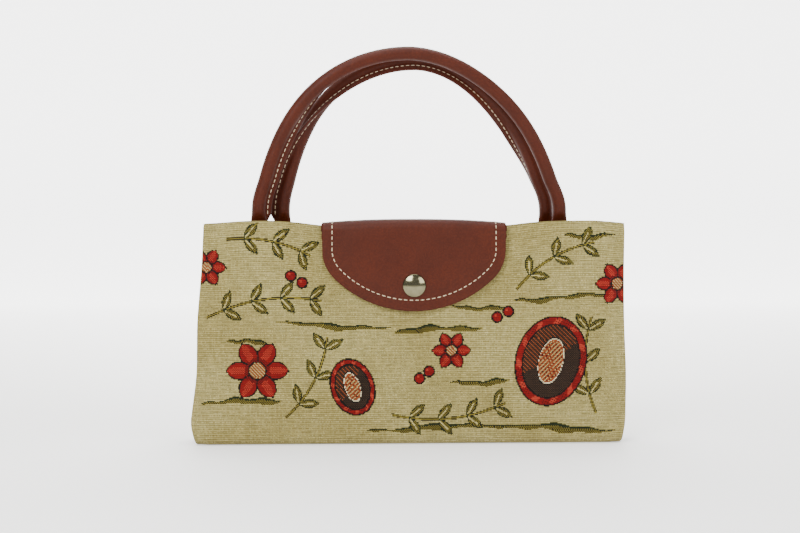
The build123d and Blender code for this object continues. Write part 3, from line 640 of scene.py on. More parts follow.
@dataclass
class FruitPrint:
    """A traditional print of cut fruits, rosettes, leafy sprigs and berries, worked out as plain shapes."""

    cell: float = 0.8
    outline: float = 1.1
    stem_width: float = 2.0
    leaf_length: float = 13.0
    leaf_width: float = 5.2
    leaf_angle: float = 48.0
    berry_radius: float = 3.2
    petals: int = 6
    fruits: tuple = ((99.0, 60.0, 25.0, 32.0, -14.0), (-44.0, 42.0, 15.0, 20.0, 18.0))
    rosettes: tuple = ((-112.0, 54.0, 21.0), (147.0, 116.0, 15.0), (27.0, 68.0, 13.0), (-148.0, 128.0, 13.0))
    sprigs: tuple = (
        ((-148.0, 92.0), (-66.0, 104.0), 7.0, 4), ((-92.0, 20.0), (-62.0, 78.0), -6.0, 3),
        ((-16.0, 22.0), (66.0, 30.0), -7.0, 4), ((74.0, 112.0), (130.0, 146.0), 6.0, 3),
        ((-134.0, 148.0), (-74.0, 136.0), 5.0, 3), ((132.0, 22.0), (128.0, 92.0), 6.0, 3),
    )
    berries: tuple = (
        (-88.0, 122.0), (-80.0, 117.0), (4.0, 48.0), (11.0, 53.0), (60.0, 92.0), (68.0, 96.0),
    )
    strokes: tuple = (
        (-152.0, 31.0, 58.0, 6.0, 2.0), (-100.0, 88.0, 84.0, 5.0, -4.0), (-34.0, 11.0, 104.0, 5.4, 3.0),
        (-14.0, 82.0, 64.0, 6.4, 3.0), (20.0, 100.0, 46.0, 4.4, -2.0), (72.0, 104.0, 70.0, 5.2, 4.0),
        (62.0, 13.0, 84.0, 6.6, -3.0), (108.0, 150.0, 38.0, 4.6, 1.0), (-134.0, 76.0, 34.0, 4.0, -3.0),
        (26.0, 44.0, 44.0, 5.2, 2.0),
    )

    def colours(self, x: Array, z: Array) -> Array:
        """Give the thread's linear colour at each place of the front face.

        Args:
            x: Places to the right, in millimetres.
            z: Heights, in millimetres.

        Returns:
            Linear colours, one row a place.
        """
        weave = Weave(
            x, z, np.floor(x / self.cell).astype(int), np.floor(z / self.cell).astype(int),
            np.empty(x.shape, dtype=object),
        )
        chance = np.random.default_rng(11).random(x.shape)
        colour = weave.colour
        colour[:] = Thread.GROUND
        colour[(weave.row % 3 == 0) & (chance < 0.55)] = Thread.GROUND_DARK
        colour[(weave.row % 2 == 1) & (chance > 0.72)] = Thread.GROUND_LIGHT
        for stroke in self.strokes:
            self.paint_stroke(weave, *stroke)
        for sprig in self.sprigs:
            self.paint_sprig(weave, *sprig)
        for rosette in self.rosettes:
            self.paint_rosette(weave, *rosette)
        for x0, z0 in self.berries:
            reach = np.hypot(x - x0, z - z0)
            colour[reach < self.berry_radius + self.outline] = Thread.BLACK
            colour[reach < self.berry_radius] = Thread.RED
            colour[np.hypot(x - x0 + 1.1, z - z0 - 1.1) < 0.9] = Thread.RED_LIGHT
        for fruit in self.fruits:
            self.paint_fruit(weave, *fruit)
        table = {thread: linear(thread.value) for thread in Thread}
        return np.array([table[thread] for thread in colour.reshape(-1)]).reshape(*x.shape, 4)

    def paint_stroke(
        self, weave: Weave, x0: float, z0: float, length: float, thick: float, lean: float
    ) -> None:
        """Paint a long blade of grass: a thin wavy lens, dark above and stippled olive below.

        Its half thickness is the root of four times the share along it times the share left, made uneven
        by two sine waves.

        Args:
            weave: The threads.
            x0: Its left end's place.
            z0: Its left end's height.
            length: How far it runs to the right.
            thick: Its greatest thickness.
            lean: How much it rises.
        """
        share = (weave.x - x0) / length
        held = np.clip(share, 0, 1)
        middle = z0 + lean * held + 0.9 * np.sin(7 * held + x0) + 0.5 * np.sin(19 * held)
        uneven = 0.72 + 0.38 * np.sin(weave.x / 5.3 + z0) * np.sin(weave.x / 13.0)
        half = thick / 2 * np.sqrt(4 * held * (1 - held)) * uneven
        lift = weave.z - middle
        blade = (share > 0) & (share < 1) & (np.abs(lift) < half)
        weave.colour[blade & weave.every(2)] = Thread.OLIVE
        weave.colour[blade & ~weave.every(2)] = Thread.BLACK
        weave.colour[blade & (lift > 0.35 * half)] = Thread.GREEN

    def paint_fruit(
        self, weave: Weave, x0: float, z0: float, half_x: float, half_z: float, lean: float
    ) -> None:
        """Paint a cut fruit: a red rind with flecks, a dark body in twill and a seeded heart.

        Args:
            weave: The threads.
            x0: Its middle's place.
            z0: Its middle's height.
            half_x: Half its width.
            half_z: Half its height.
            lean: Its lean in degrees.
        """
        colour = weave.colour
        u, v = turned_by(weave.x - x0, weave.z - z0, -math.radians(lean))
        angle = np.arctan2(v / half_z, u / half_x)

        def share(width: float, height: float) -> Array:
            """Give 1 on an oval's edge and less inside it."""
            return np.hypot(u / width, v / height)

        rind = share(half_x, half_z)
        colour[share(half_x + self.outline, half_z + self.outline) < 1] = Thread.BLACK
        colour[rind < 1] = Thread.RED
        colour[(rind < 0.98) & (np.sin(11 * angle + 9 * rind) > 0.55)] = Thread.RED_LIGHT
        colour[(rind < 1) & weave.every(5, 2) & (np.sin(5 * angle + 1) > -0.3)] = Thread.RED_DARK
        body = share(0.84 * half_x, 0.86 * half_z)
        colour[body < 1] = Thread.BLACK
        inside = body < 1 - self.outline / half_x
        colour[inside & weave.every(2)] = Thread.BROWN
        colour[inside & (np.cos(angle - 2.2) > 0.1) & weave.every(4)] = Thread.RUST
        heart = share(0.34 * half_x, 0.5 * half_z)
        colour[heart < 1 + 2.6 / half_x] = Thread.BLACK
        colour[heart < 1 + 1.2 / half_x] = Thread.CREAM
        colour[heart < 1] = Thread.RUST
        seed = (np.sin(u * 2.0) * np.sin(v * 1.6) > 0.45) & (heart < 0.92)
        colour[seed] = Thread.RED_DARK
        colour[(heart < 0.95) & weave.every(4, -1) & ~seed] = Thread.GROUND_LIGHT

    def paint_rosette(self, weave: Weave, x0: float, z0: float, radius: float) -> None:
        """Paint a rosette: pointed petals round a tan heart, each with a lighter middle.

        Args:
            weave: The threads.
            x0: Its middle's place.
            z0: Its middle's height.
            radius: From its middle to a petal's point, nearly.
        """
        colour = weave.colour
        x, z = weave.x - x0, weave.z - z0
        half = 0.41 * radius
        for petal in range(self.petals):
            u, v = turned_by(x, z, -2 * math.pi * petal / self.petals)
            u = u - 0.61 * radius
            wide = 0.27 * radius * np.clip(1 - (u / half) ** 2, 0, 1) ** 0.6
            near = np.abs(u) < half + self.outline
            within = (np.abs(u) < half) & (np.abs(v) < wide)
            colour[near & (np.abs(v) < wide + self.outline)] = Thread.BLACK
            colour[within] = Thread.RED
            colour[within & (np.abs(v) < 0.45 * wide) & weave.every(2)] = Thread.RED_LIGHT
            colour[within & (u < -0.45 * half) & weave.every(2)] = Thread.RED_DARK
        reach = np.hypot(x, z)
        colour[reach < 0.27 * radius + self.outline] = Thread.BLACK
        colour[reach < 0.27 * radius] = Thread.RUST
        colour[(reach < 0.27 * radius) & weave.every(3)] = Thread.GROUND_LIGHT

    def paint_sprig(self, weave: Weave, start: tuple, end: tuple, bow: float, pairs: int) -> None:
        """Paint a sprig: an arched stem with leaves in pairs.

        The stem's rise is a parabola of the share along it, and each leaf starts at the stem.

        Args:
            weave: The threads.
            start: The stem's foot.
            end: The stem's tip.
            bow: The arch's height.
            pairs: Pairs of leaves.
        """
        length = math.dist(start, end)
        ahead = math.atan2(end[1] - start[1], end[0] - start[0])
        u, v = turned_by(weave.x - start[0], weave.z - start[1], -ahead)
        rise = 4 * bow * (u / length) * (1 - u / length)
        on = (u > 0) & (u < length)
        weave.colour[on & (np.abs(v - rise) < self.stem_width / 2)] = Thread.BLACK
        weave.colour[on & (np.abs(v - rise) < self.stem_width / 4)] = Thread.OLIVE
        for pair in range(pairs):
            share = (pair + 0.6) / pairs
            slope = math.atan(4 * bow / length * (1 - 2 * share))
            foot_u, foot_v = share * length, 4 * bow * share * (1 - share)
            for side in (-1, 1):
                turn = slope + side * math.radians(self.leaf_angle)
                p, q = turned_by(u - foot_u, v - foot_v, -turn)
                self.paint_leaf(weave, p - (self.stem_width + self.leaf_length) / 2, q)

    def paint_leaf(self, weave: Weave, along: Array, beside: Array) -> None:
        """Paint a leaf: a lens with a green edge, a checkered blade and a pale midrib.

        Args:
            weave: The threads.
            along: Places along the leaf, from its middle.
            beside: Places to the side of its midrib.
        """
        colour = weave.colour
        half = self.leaf_length / 2
        edge = 0.8
        blade = self.leaf_width / 2 * np.clip(1 - (along / half) ** 2, 0, 1)
        colour[(np.abs(along) < half + edge) & (np.abs(beside) < blade + edge)] = Thread.GREEN
        body = (np.abs(along) < half) & (np.abs(beside) < blade)
        colour[body] = Thread.OLIVE
        colour[body & weave.every(2)] = Thread.BLACK
        colour[body & weave.every(4, -1) & (beside > 0)] = Thread.GREEN
        colour[body & (np.abs(beside) < 0.5) & (along < 0.45 * half)] = Thread.GROUND_LIGHT


@dataclass
class FoldedBag:
    """The bag's cloth layers, folded in half round a flat strip that they stand on; sizes in millimetres."""

    height: float = 158.6
    cloth: float = 1.2
    half_depth: float = 17.9
    fold_radius: float = 7.6
    inner_half_depth: float = 4.1
    inner_bottom: float = 13.8
    inner_radius: float = 3.0
    pleat_middle: float = 10.4
    pleat_bottom: float = 7.5
    pleat_radius: float = 6.5
    outer_seam_inset: float = 4.1
    fold_gap: float = 0.6
    seam_gap: float = 0.7
    crease_gap: float = 0.2
    crease_bow: float = 0.8
    crease_x: float = 92.0
    crease_z: float = 98.6
    base_half: float = 150.6
    hem: float = 2.5
    side_seam: float = 1.4
    rear_gusset_top: float = 143.6
    side_heights: tuple = (0.0, 11.0, 50.75, 88.8, 126.9, 158.6)
    left_edge: tuple = (-154.6, -160.4, -155.0, -154.6, -151.2, -149.6)
    right_edge: tuple = (150.0, 153.3, 153.8, 152.0, 151.6, 152.0)
    top_places: tuple = (-152.0, -121.6, -91.2, -63.8, 63.8, 95.8, 141.4, 152.0)
    top_heights: tuple = (158.6, 160.8, 160.1, 156.6, 157.0, 160.5, 160.8, 158.6)
    top_from: float = 90.0
    top_over: float = 68.0
    upright_over: float = 25.0
    side_tuck: tuple = (2.3, 11.0)
    top_tuck: tuple = (1.5, 7.0)
    swell_over: float = 20.0
    snap_height: float = 115.0
    calm_radius: float = 8.0
    calm_over: float = 22.0
    calm_stretch: float = 1.5
    ripples: tuple = (
        (0.5, 31.0, 47.0, 0.7), (0.3, 17.0, -23.0, 0.0), (0.35, 60.0, 14.0, 0.0),
        (0.15, 7.5, 7.5 / 1.4, 0.0),
    )
    creases: tuple = ((0.75, -136.0, 0.04, 2.6, 70.0, 40.0), (0.5, -96.0, 0.55, 3.4, 40.0, 30.0))
    design: FruitPrint = field(default_factory=FruitPrint)

    def side_x(self, z: Array, edge: tuple) -> Array:
        """Give a side's X at some heights: straight stretches, softened by a mean over 16 mm."""
        return softened(z, self.side_heights, edge, 8.0)

    def top_z(self, x: Array) -> Array:
        """Give the top edge's height, softened by a mean over 24 mm, with small waves as worn cloth has."""
        return softened(x, self.top_places, self.top_heights, 12.0) + 0.25 * np.sin(x / 17.0 + 1.0)

    def cross_path(self, at: Array, layer: tuple) -> tuple[Array, Array]:
        """Give the distance from the middle plane and the height along the way up from the bottom's middle.

        The way is the flat, then a quarter circle, then a straight rise.

        Args:
            at: Distances along the way.
            layer: The upright part's distance from the middle plane, the bottom's height, the fold's radius.

        Returns:
            Distance from the middle plane, and height.
        """
        half, bottom, radius = layer
        flat = half - radius
        bend = math.pi * radius / 2
        angle = np.clip((at - flat) / radius, 0, math.pi / 2)
        far = np.where(at < flat, at, flat + radius * np.sin(angle))
        return far, bottom + radius * (1 - np.cos(angle)) + np.clip(at - flat - bend, 0, None)

    def way_to(self, z: Array, layer: tuple) -> Array:
        """Give the distance along the way at which a layer's upright part has a height."""
        half, bottom, radius = layer
        return half - radius + math.pi * radius / 2 + z - bottom - radius

    def waves(self, x: Array, z: Array) -> Array:
        """Give the cloth's bulge: slow sine waves, less pressed creases with a bell curve's section.

        Args:
            x: Places to the right.
            z: Heights.

        Returns:
            How far the cloth stands out.
        """
        wave = np.zeros_like(x)
        for size, length_x, length_z, phase in self.ripples:
            wave = wave + size * np.sin(x / length_x + z / length_z + phase)
        for depth, foot, lean, width, start, over in self.creases:
            wave = wave - depth * np.exp(-((x - foot - lean * z) / width) ** 2) * ease((z - start) / over)
        return wave

    def half_sheet(self, side: float, size: tuple, layer: tuple, soft: float) -> tuple[Array, Array]:
        """Give one half of a folded sheet, from the bottom's middle up to one of its ends.

        The width at each height runs from the left edge to the right edge. The face bulges softly, curves in
        towards the sides and the top, where it is sewn, and on the front lies flat round the snap.

        Args:
            side: -1 for the front, 1 for the rear.
            size: Points across and points along.
            layer: Distance from the middle plane, height of the bottom and radius of the fold.
            soft: Size of the bulges.

        Returns:
            The grid of points, and its flat map.
        """
        share = np.linspace(0, 1, size[0])[:, None]
        run = np.linspace(0, 1, size[1])[None, :]
        top = self.top_z(np.interp(share, (0, 1), (self.top_places[0], self.top_places[-1])))
        way = run * self.way_to(self.height, layer)
        far, z = self.cross_path(way, layer)
        z = z + (top - self.height) * ease((z - self.top_from) / self.top_over)
        left = self.side_x(z, self.left_edge)
        right = self.side_x(z, self.right_edge)
        x = left + (right - left) * share
        from_side = np.minimum(x - left, right - x)
        from_top = np.maximum(self.top_z(x) - z, 0)
        upright = ease((z - layer[1] - layer[2]) / self.upright_over)
        tuck = self.side_tuck[0] * (1 - ease(from_side / self.side_tuck[1]))
        tuck = tuck + self.top_tuck[0] * (1 - ease(from_top / self.top_tuck[1])) * upright
        swell = soft * (self.waves(x, z) * ease(from_side / self.swell_over) * upright - tuck)
        if side < 0:
            from_snap = np.hypot(x / self.calm_stretch, z - self.snap_height) - self.calm_radius
            swell = swell * ease(from_snap / self.calm_over)
        places = np.stack([x, side * (far + swell), z], axis=-1)
        flat_map = np.stack([x, way + np.zeros_like(x)], axis=-1)
        if side > 0:
            places, flat_map = places[::-1], flat_map[::-1]
        return places, flat_map

    def pleat_ways(self) -> tuple[Array, Array, Array]:
        """Give a pleat's section.

        Returns:
            The share of the way from crease to seam; the side of the pleat, from 1 at the outer seam to -1
            at the inner seam, round half a circle at the crease; and the crease's bow.
        """
        arm = np.linspace(1, 0, 22)
        turn = np.linspace(0, math.pi, 9)[1:-1]
        reach = np.concatenate([arm, np.zeros(len(turn)), arm[::-1]])
        apart = self.crease_gap + (1 - self.crease_gap) * arm
        lean = np.concatenate([apart, self.crease_gap * np.cos(turn), -apart[::-1]])
        bow = np.concatenate([0 * arm, np.sin(turn), 0 * arm])
        return reach, lean, bow

    def pleat_layers(self) -> tuple:
        """Give the layers of a pleat's outer seam, crease and inner seam."""
        outer_radius = self.fold_radius - self.cloth - self.fold_gap
        outer = (self.half_depth - self.outer_seam_inset, self.cloth + self.seam_gap, outer_radius)
        crease = (self.pleat_middle, self.pleat_bottom, self.pleat_radius)
        inner = (
            self.inner_half_depth + self.seam_gap, self.inner_bottom - self.seam_gap,
            self.inner_radius + self.seam_gap,
        )
        return outer, crease, inner

    def leaned(self, lean: Array, outer: Array, crease: Array, inner: Array) -> Array:
        """Blend from a crease's value to the outer seam's or the inner seam's by the side of the pleat."""
        return crease + np.where(lean > 0, (outer - crease) * lean, (crease - inner) * lean)

    def gusset(self, name: str, side: float, material: Material) -> Piece:
        """Make a side gusset: one sheet, pleated inwards, that follows the fold from front to rear.

        Its front end is cut on the mitre that the base panel meets.

        Args:
            name: The piece's name.
            side: -1 for the left, 1 for the right.
            material: The cloth's finish.

        Returns:
            The piece.
        """
        reach, lean, bow = (values[None, :] for values in self.pleat_ways())
        run = np.linspace(-1, 1, 151)[:, None]
        edge = self.left_edge if side < 0 else self.right_edge
        front_top = self.crease_z + (self.height - self.hem - self.crease_z) * reach
        top = np.where(run < 0, front_top, self.rear_gusset_top)
        ways = [np.abs(run) * self.way_to(top, layer) for layer in self.pleat_layers()]
        paths = [self.cross_path(way, layer) for way, layer in zip(ways, self.pleat_layers())]
        far = self.leaned(lean, *(path[0] for path in paths))
        z = self.leaned(lean, *(path[1] for path in paths))
        seam = np.abs(self.side_x(z, edge)) - self.side_seam
        x = side * (self.crease_x + (seam - self.crease_x) * reach - self.crease_bow * bow)
        places = np.stack([x, np.sign(run) * far, z], axis=-1)
        flat = np.stack([np.abs(x) - self.crease_x, np.sign(run) * ways[1]], axis=-1)
        return self.plain_cloth(name, places, flat, material)

    def base(self, material: Material) -> Piece:
        """Make the base panel: one sheet, pleated down between the two folded-up edges, with mitred ends."""
        reach, lean, bow = (values[None, :] for values in self.pleat_ways())
        share = np.linspace(-1, 1, 121)[:, None]
        x = share * (self.crease_x + (self.base_half - self.crease_x) * reach)
        top = np.minimum(self.top_z(x), self.height) - self.hem
        z = self.crease_z + (top - self.crease_z) * reach - self.crease_bow * bow
        outer, crease, inner = (np.full_like(x, layer[0]) for layer in self.pleat_layers())
        places = np.stack([x, -self.leaned(lean, outer, crease, inner), z], axis=-1)
        flat = np.stack([x, lean * (self.height - self.crease_z) + 0 * x], axis=-1)
        return self.plain_cloth("base_cloth", places, flat, material)

    def inner_sheet(self, side: float, material: Material) -> Piece:
        """Make one half of the doubled inner panel, -1 for the front and 1 for the rear."""
        half = self.cloth / 2
        layer = (self.inner_half_depth - half, self.inner_bottom + half, self.inner_radius)
        places, flat = self.half_sheet(side, (121, 81), layer, 0.25)
        name = "inner_cloth_front" if side < 0 else "inner_cloth_rear"
        return self.plain_cloth(name, places, flat, material)

    def plain_cloth(self, name: str, places: Array, flat: Array, material: Material) -> Piece:
        """Make a sheet of the cloth in its ground colour.

        Args:
            name: The piece's name.
            places: Grid of the sheet's middle.
            flat: Its flat map.
            material: The cloth's finish.

        Returns:
            The piece.
        """
        points, faces = sheet_shell(places, self.cloth)
        total = sum(len(rows) for rows in faces)
        thread = np.tile(np.array(linear(Thread.GROUND.value)), (total, 1))
        return make_piece(name, points, faces, material, shell_map(flat, 3, 1), thread)

    def woven_face(self, name: str, side: float, size: tuple, coarse: int, material: Material) -> Piece:
        """Make one half of the outer cloth, with the print in its threads.

        Args:
            name: The piece's name.
            side: -1 for the front, 1 for the rear.
            size: Cells across and cells along.
            coarse: Cells of the front for each cell of the back.
            material: The cloth's finish.

        Returns:
            The piece.
        """
        half = self.cloth / 2
        layer = (self.half_depth - half, half, self.fold_radius - half)
        places, flat_map = self.half_sheet(side, (size[0] + 1, size[1] + 1), layer, 1.0)
        points, faces = sheet_shell(places, self.cloth, coarse=coarse)
        centre = (places[:-1, :-1] + places[1:, 1:]) / 2
        printed = self.design.colours(centre[..., 0] * -side, centre[..., 2])
        under = np.abs(centre[..., 1]) < self.half_depth - self.fold_radius
        plain = np.array(linear(Thread.GROUND.value))
        printed[under] = plain
        thread = np.tile(np.array(linear(Thread.GROUND_DARK.value)), (sum(len(rows) for rows in faces), 1))
        thread[:len(faces[0])] = printed.reshape(-1, 4)
        thread[len(faces[0]):len(faces[0]) + len(faces[1])] = plain
        return make_piece(name, points, faces, material, shell_map(flat_map, 3, coarse), thread)


@dataclass
class SnapFlap:
    """The leatherette flap, from its seam on the rear over the top to its snap; sizes in millimetres."""

    half_width: float = 66.5
    thickness: float = 2.0
    anchor_y: float = 18.9
    anchor_bottom: float = 118.3
    anchor_corner: float = 14.0
    top: float = 161.6
    bend: float = 6.0
    front_y: float = -22.1
    tip: float = 96.5
    tip_radius: float = 82.0
    corner_radius: float = 29.0
    stitch_inset: float = 8.1
    snap_height: float = 115.0
    crown: float = 2.7
    crown_power: float = 2.4
    crown_from: float = 128.0
    crown_over: float = 32.0
    hang_top: float = 158.0
    edge_lean: float = 1.3
    middle_swell: float = 0.35
    wave: float = 0.25
    cap_radius: float = 8.25
    cap_dome: float = 2.0
    cap_lift: float = 1.15
    rim_roll: float = 0.35
    stitch_lift: float = 0.06

    @property
    def rise(self) -> float:
        """Give the length of the straight rise up the rear."""
        return self.top - self.bend - self.anchor_bottom

    @property
    def across(self) -> float:
        """Give the length of the level stretch over the top."""
        return self.anchor_y - self.front_y - 2 * self.bend

    def path(self, run: Array) -> tuple[Array, Array]:
        """Give the flap's line: straight up, a quarter circle, level, a quarter circle and straight down.

        Args:
            run: Distances along the flap from the anchor's lower end.

        Returns:
            Y and Z.
        """
        turn = math.pi * self.bend / 2
        first = np.clip((run - self.rise) / self.bend, 0, math.pi / 2)
        second = np.clip((run - self.rise - turn - self.across) / self.bend, 0, math.pi / 2)
        level = np.clip(run - self.rise - turn, 0, self.across)
        down = np.clip(run - self.rise - 2 * turn - self.across, 0, None)
        y = self.anchor_y - self.bend * (1 - np.cos(first)) - level - self.bend * np.sin(second)
        z = self.anchor_bottom + np.clip(run, 0, self.rise) - down
        return y, z + self.bend * (np.sin(first) - (1 - np.cos(second)))

    def front_run(self, z: Array) -> Array:
        """Give the distance along the flap at which its front part has a height."""
        return self.rise + math.pi * self.bend + self.across + (self.top - self.bend - z)

    def corner_centre(self) -> tuple[float, float]:
        """Give X and Z of the centre of a lower corner's arc, which meets the tip's wide arc in line."""
        x = self.half_width - self.corner_radius
        apart = self.tip_radius - self.corner_radius
        return x, self.tip + self.tip_radius - math.sqrt(apart ** 2 - x ** 2)

    def tip_z(self, x: Array, inset: float = 0.0) -> Array:
        """Give the outline's lower height: a wide arc in the middle and a smaller one at each corner.

        Args:
            x: Places to the right.
            inset: How far inside the outline.

        Returns:
            Heights.
        """
        reach = np.abs(x)
        corner_x, corner_z = self.corner_centre()
        wide = self.tip_radius - inset
        small = self.corner_radius - inset
        change = wide * corner_x / (self.tip_radius - self.corner_radius)
        middle = self.tip + self.tip_radius - np.sqrt(np.clip(wide ** 2 - reach ** 2, 0, None))
        side = corner_z - np.sqrt(np.clip(small ** 2 - np.clip(reach - corner_x, 0, None) ** 2, 0, None))
        return np.where(reach < change, middle, side)

    def foot_z(self, x: Array, inset: float = 0.0) -> Array:
        """Give the anchor's lower outline, straight with round corners, at X and an inset inside it."""
        reach = np.clip(np.abs(x) - (self.half_width - self.anchor_corner), 0, None)
        small = self.anchor_corner - inset
        return self.anchor_bottom + self.anchor_corner - np.sqrt(np.clip(small ** 2 - reach ** 2, 0, None))

    def surface(self, x: Array, run: Array) -> Array:
        """Give the middle surface.

        The top sinks towards its sides by a power of the distance from the middle. The hanging part swells
        a little in its middle, leans in towards its edges and has one slow sine wave.

        Args:
            x: Places to the right.
            run: Distances along the flap.

        Returns:
            Points.
        """
        y, z = self.path(run)
        drop = self.crown * (np.abs(x) / self.half_width) ** self.crown_power
        z = z - drop * ease((z - self.crown_from) / self.crown_over)
        hanging = ease(-y / 20.0) * ease((self.hang_top - z) / 10.0)
        inner = ease((z - self.tip_z(x)) / 26.0) * ease((self.half_width - np.abs(x)) / 24.0)
        y = y + hanging * (self.edge_lean * (1 - inner) - self.middle_swell * inner)
        y = y + hanging * self.wave * np.sin(x / 13.0 + z / 19.0)
        return np.stack([x + 0 * run, y, z], axis=-1)

    def columns(self, count: int) -> Array:
        """Give places across the flap, closer together near its sides."""
        u = np.linspace(-1, 1, count)
        return (self.half_width - self.thickness / 2) * (0.3 * u + 0.7 * np.sin(math.pi / 2 * u))

    def build(self, material: Material) -> Piece:
        """Make the flap as one closed sheet with a round edge."""
        half = self.thickness / 2
        x = self.columns(121)[:, None]
        start = self.foot_z(x, half) - self.anchor_bottom
        end = self.front_run(self.tip_z(x, half))
        share = np.linspace(0, 1, 171)[None, :]
        run = start + (end - start) * share
        places = self.surface(x + 0 * run, run)
        points, faces = sheet_shell(places, self.thickness, edge_steps=5)
        return make_piece("flap_leatherette", points, faces, material)

    def cap(self, material: Material) -> Piece:
        """Make the snap's cap: a rolled rim, then a shallow dome that is part of a sphere."""
        rim = self.cap_radius - self.rim_roll
        sphere = (rim ** 2 + self.cap_dome ** 2) / (2 * self.cap_dome)
        angle = np.linspace(math.asin(rim / sphere), 0.02, 18)
        dome_height = sphere * (np.cos(angle) - 1) + self.cap_dome + self.cap_lift
        dome = np.stack([sphere * np.sin(angle), dome_height], axis=-1)
        wide = self.cap_radius
        roll = np.array([[rim - 0.4, -0.5], [rim + 0.1, -0.2], [wide, 0.3], [wide, 0.75]])
        centre = np.array([0.0, self.front_y - self.thickness / 2, self.snap_height])
        points, faces = turned(np.concatenate([roll, dome]), 72, centre)
        return make_piece("snap_cap_dome", points, faces, material)

    def stitch_lines(self) -> list[tuple[Array, Array]]:
        """Give the stitch line on the outer face, round both ends, and the ways up from it."""
        inset = self.stitch_inset
        side = self.half_width - inset
        corner_x, corner_z = self.corner_centre()
        middle_z = self.tip + self.tip_radius
        change = math.asin(corner_x / (self.tip_radius - self.corner_radius))
        small = self.corner_radius - inset
        wide = self.tip_radius - inset
        turn = np.linspace(0, math.pi / 2 - change, 24)
        corner = np.stack([corner_x + small * np.cos(turn), corner_z - small * np.sin(turn)], axis=-1)
        turn = np.linspace(change, 0, 60)
        tip = np.stack([wide * np.sin(turn), middle_z - wide * np.cos(turn)], axis=-1)
        front = np.concatenate([corner, tip])
        front_run = self.front_run(front[:, 1])
        foot = self.anchor_corner - inset
        turn = np.linspace(math.pi / 2, 0, 16)
        foot_x = np.concatenate([[0.0], side - foot + foot * np.cos(turn)])
        foot_run = np.concatenate([[inset], inset + foot - foot * np.sin(turn)])
        x = np.concatenate([foot_x, np.full(80, side), front[:, 0]])
        run = np.concatenate([foot_run, np.linspace(foot_run[-1], front_run[0], 82)[1:-1], front_run])
        x = np.concatenate([x, -x[::-1]])
        run = np.concatenate([run, run[::-1]])
        step = 0.2
        place = self.surface(x, run)
        up = unit(np.cross(self.surface(x, run + step) - place, self.surface(x + step, run) - place))
        return [(place + up * (self.thickness / 2 + self.stitch_lift), up)]


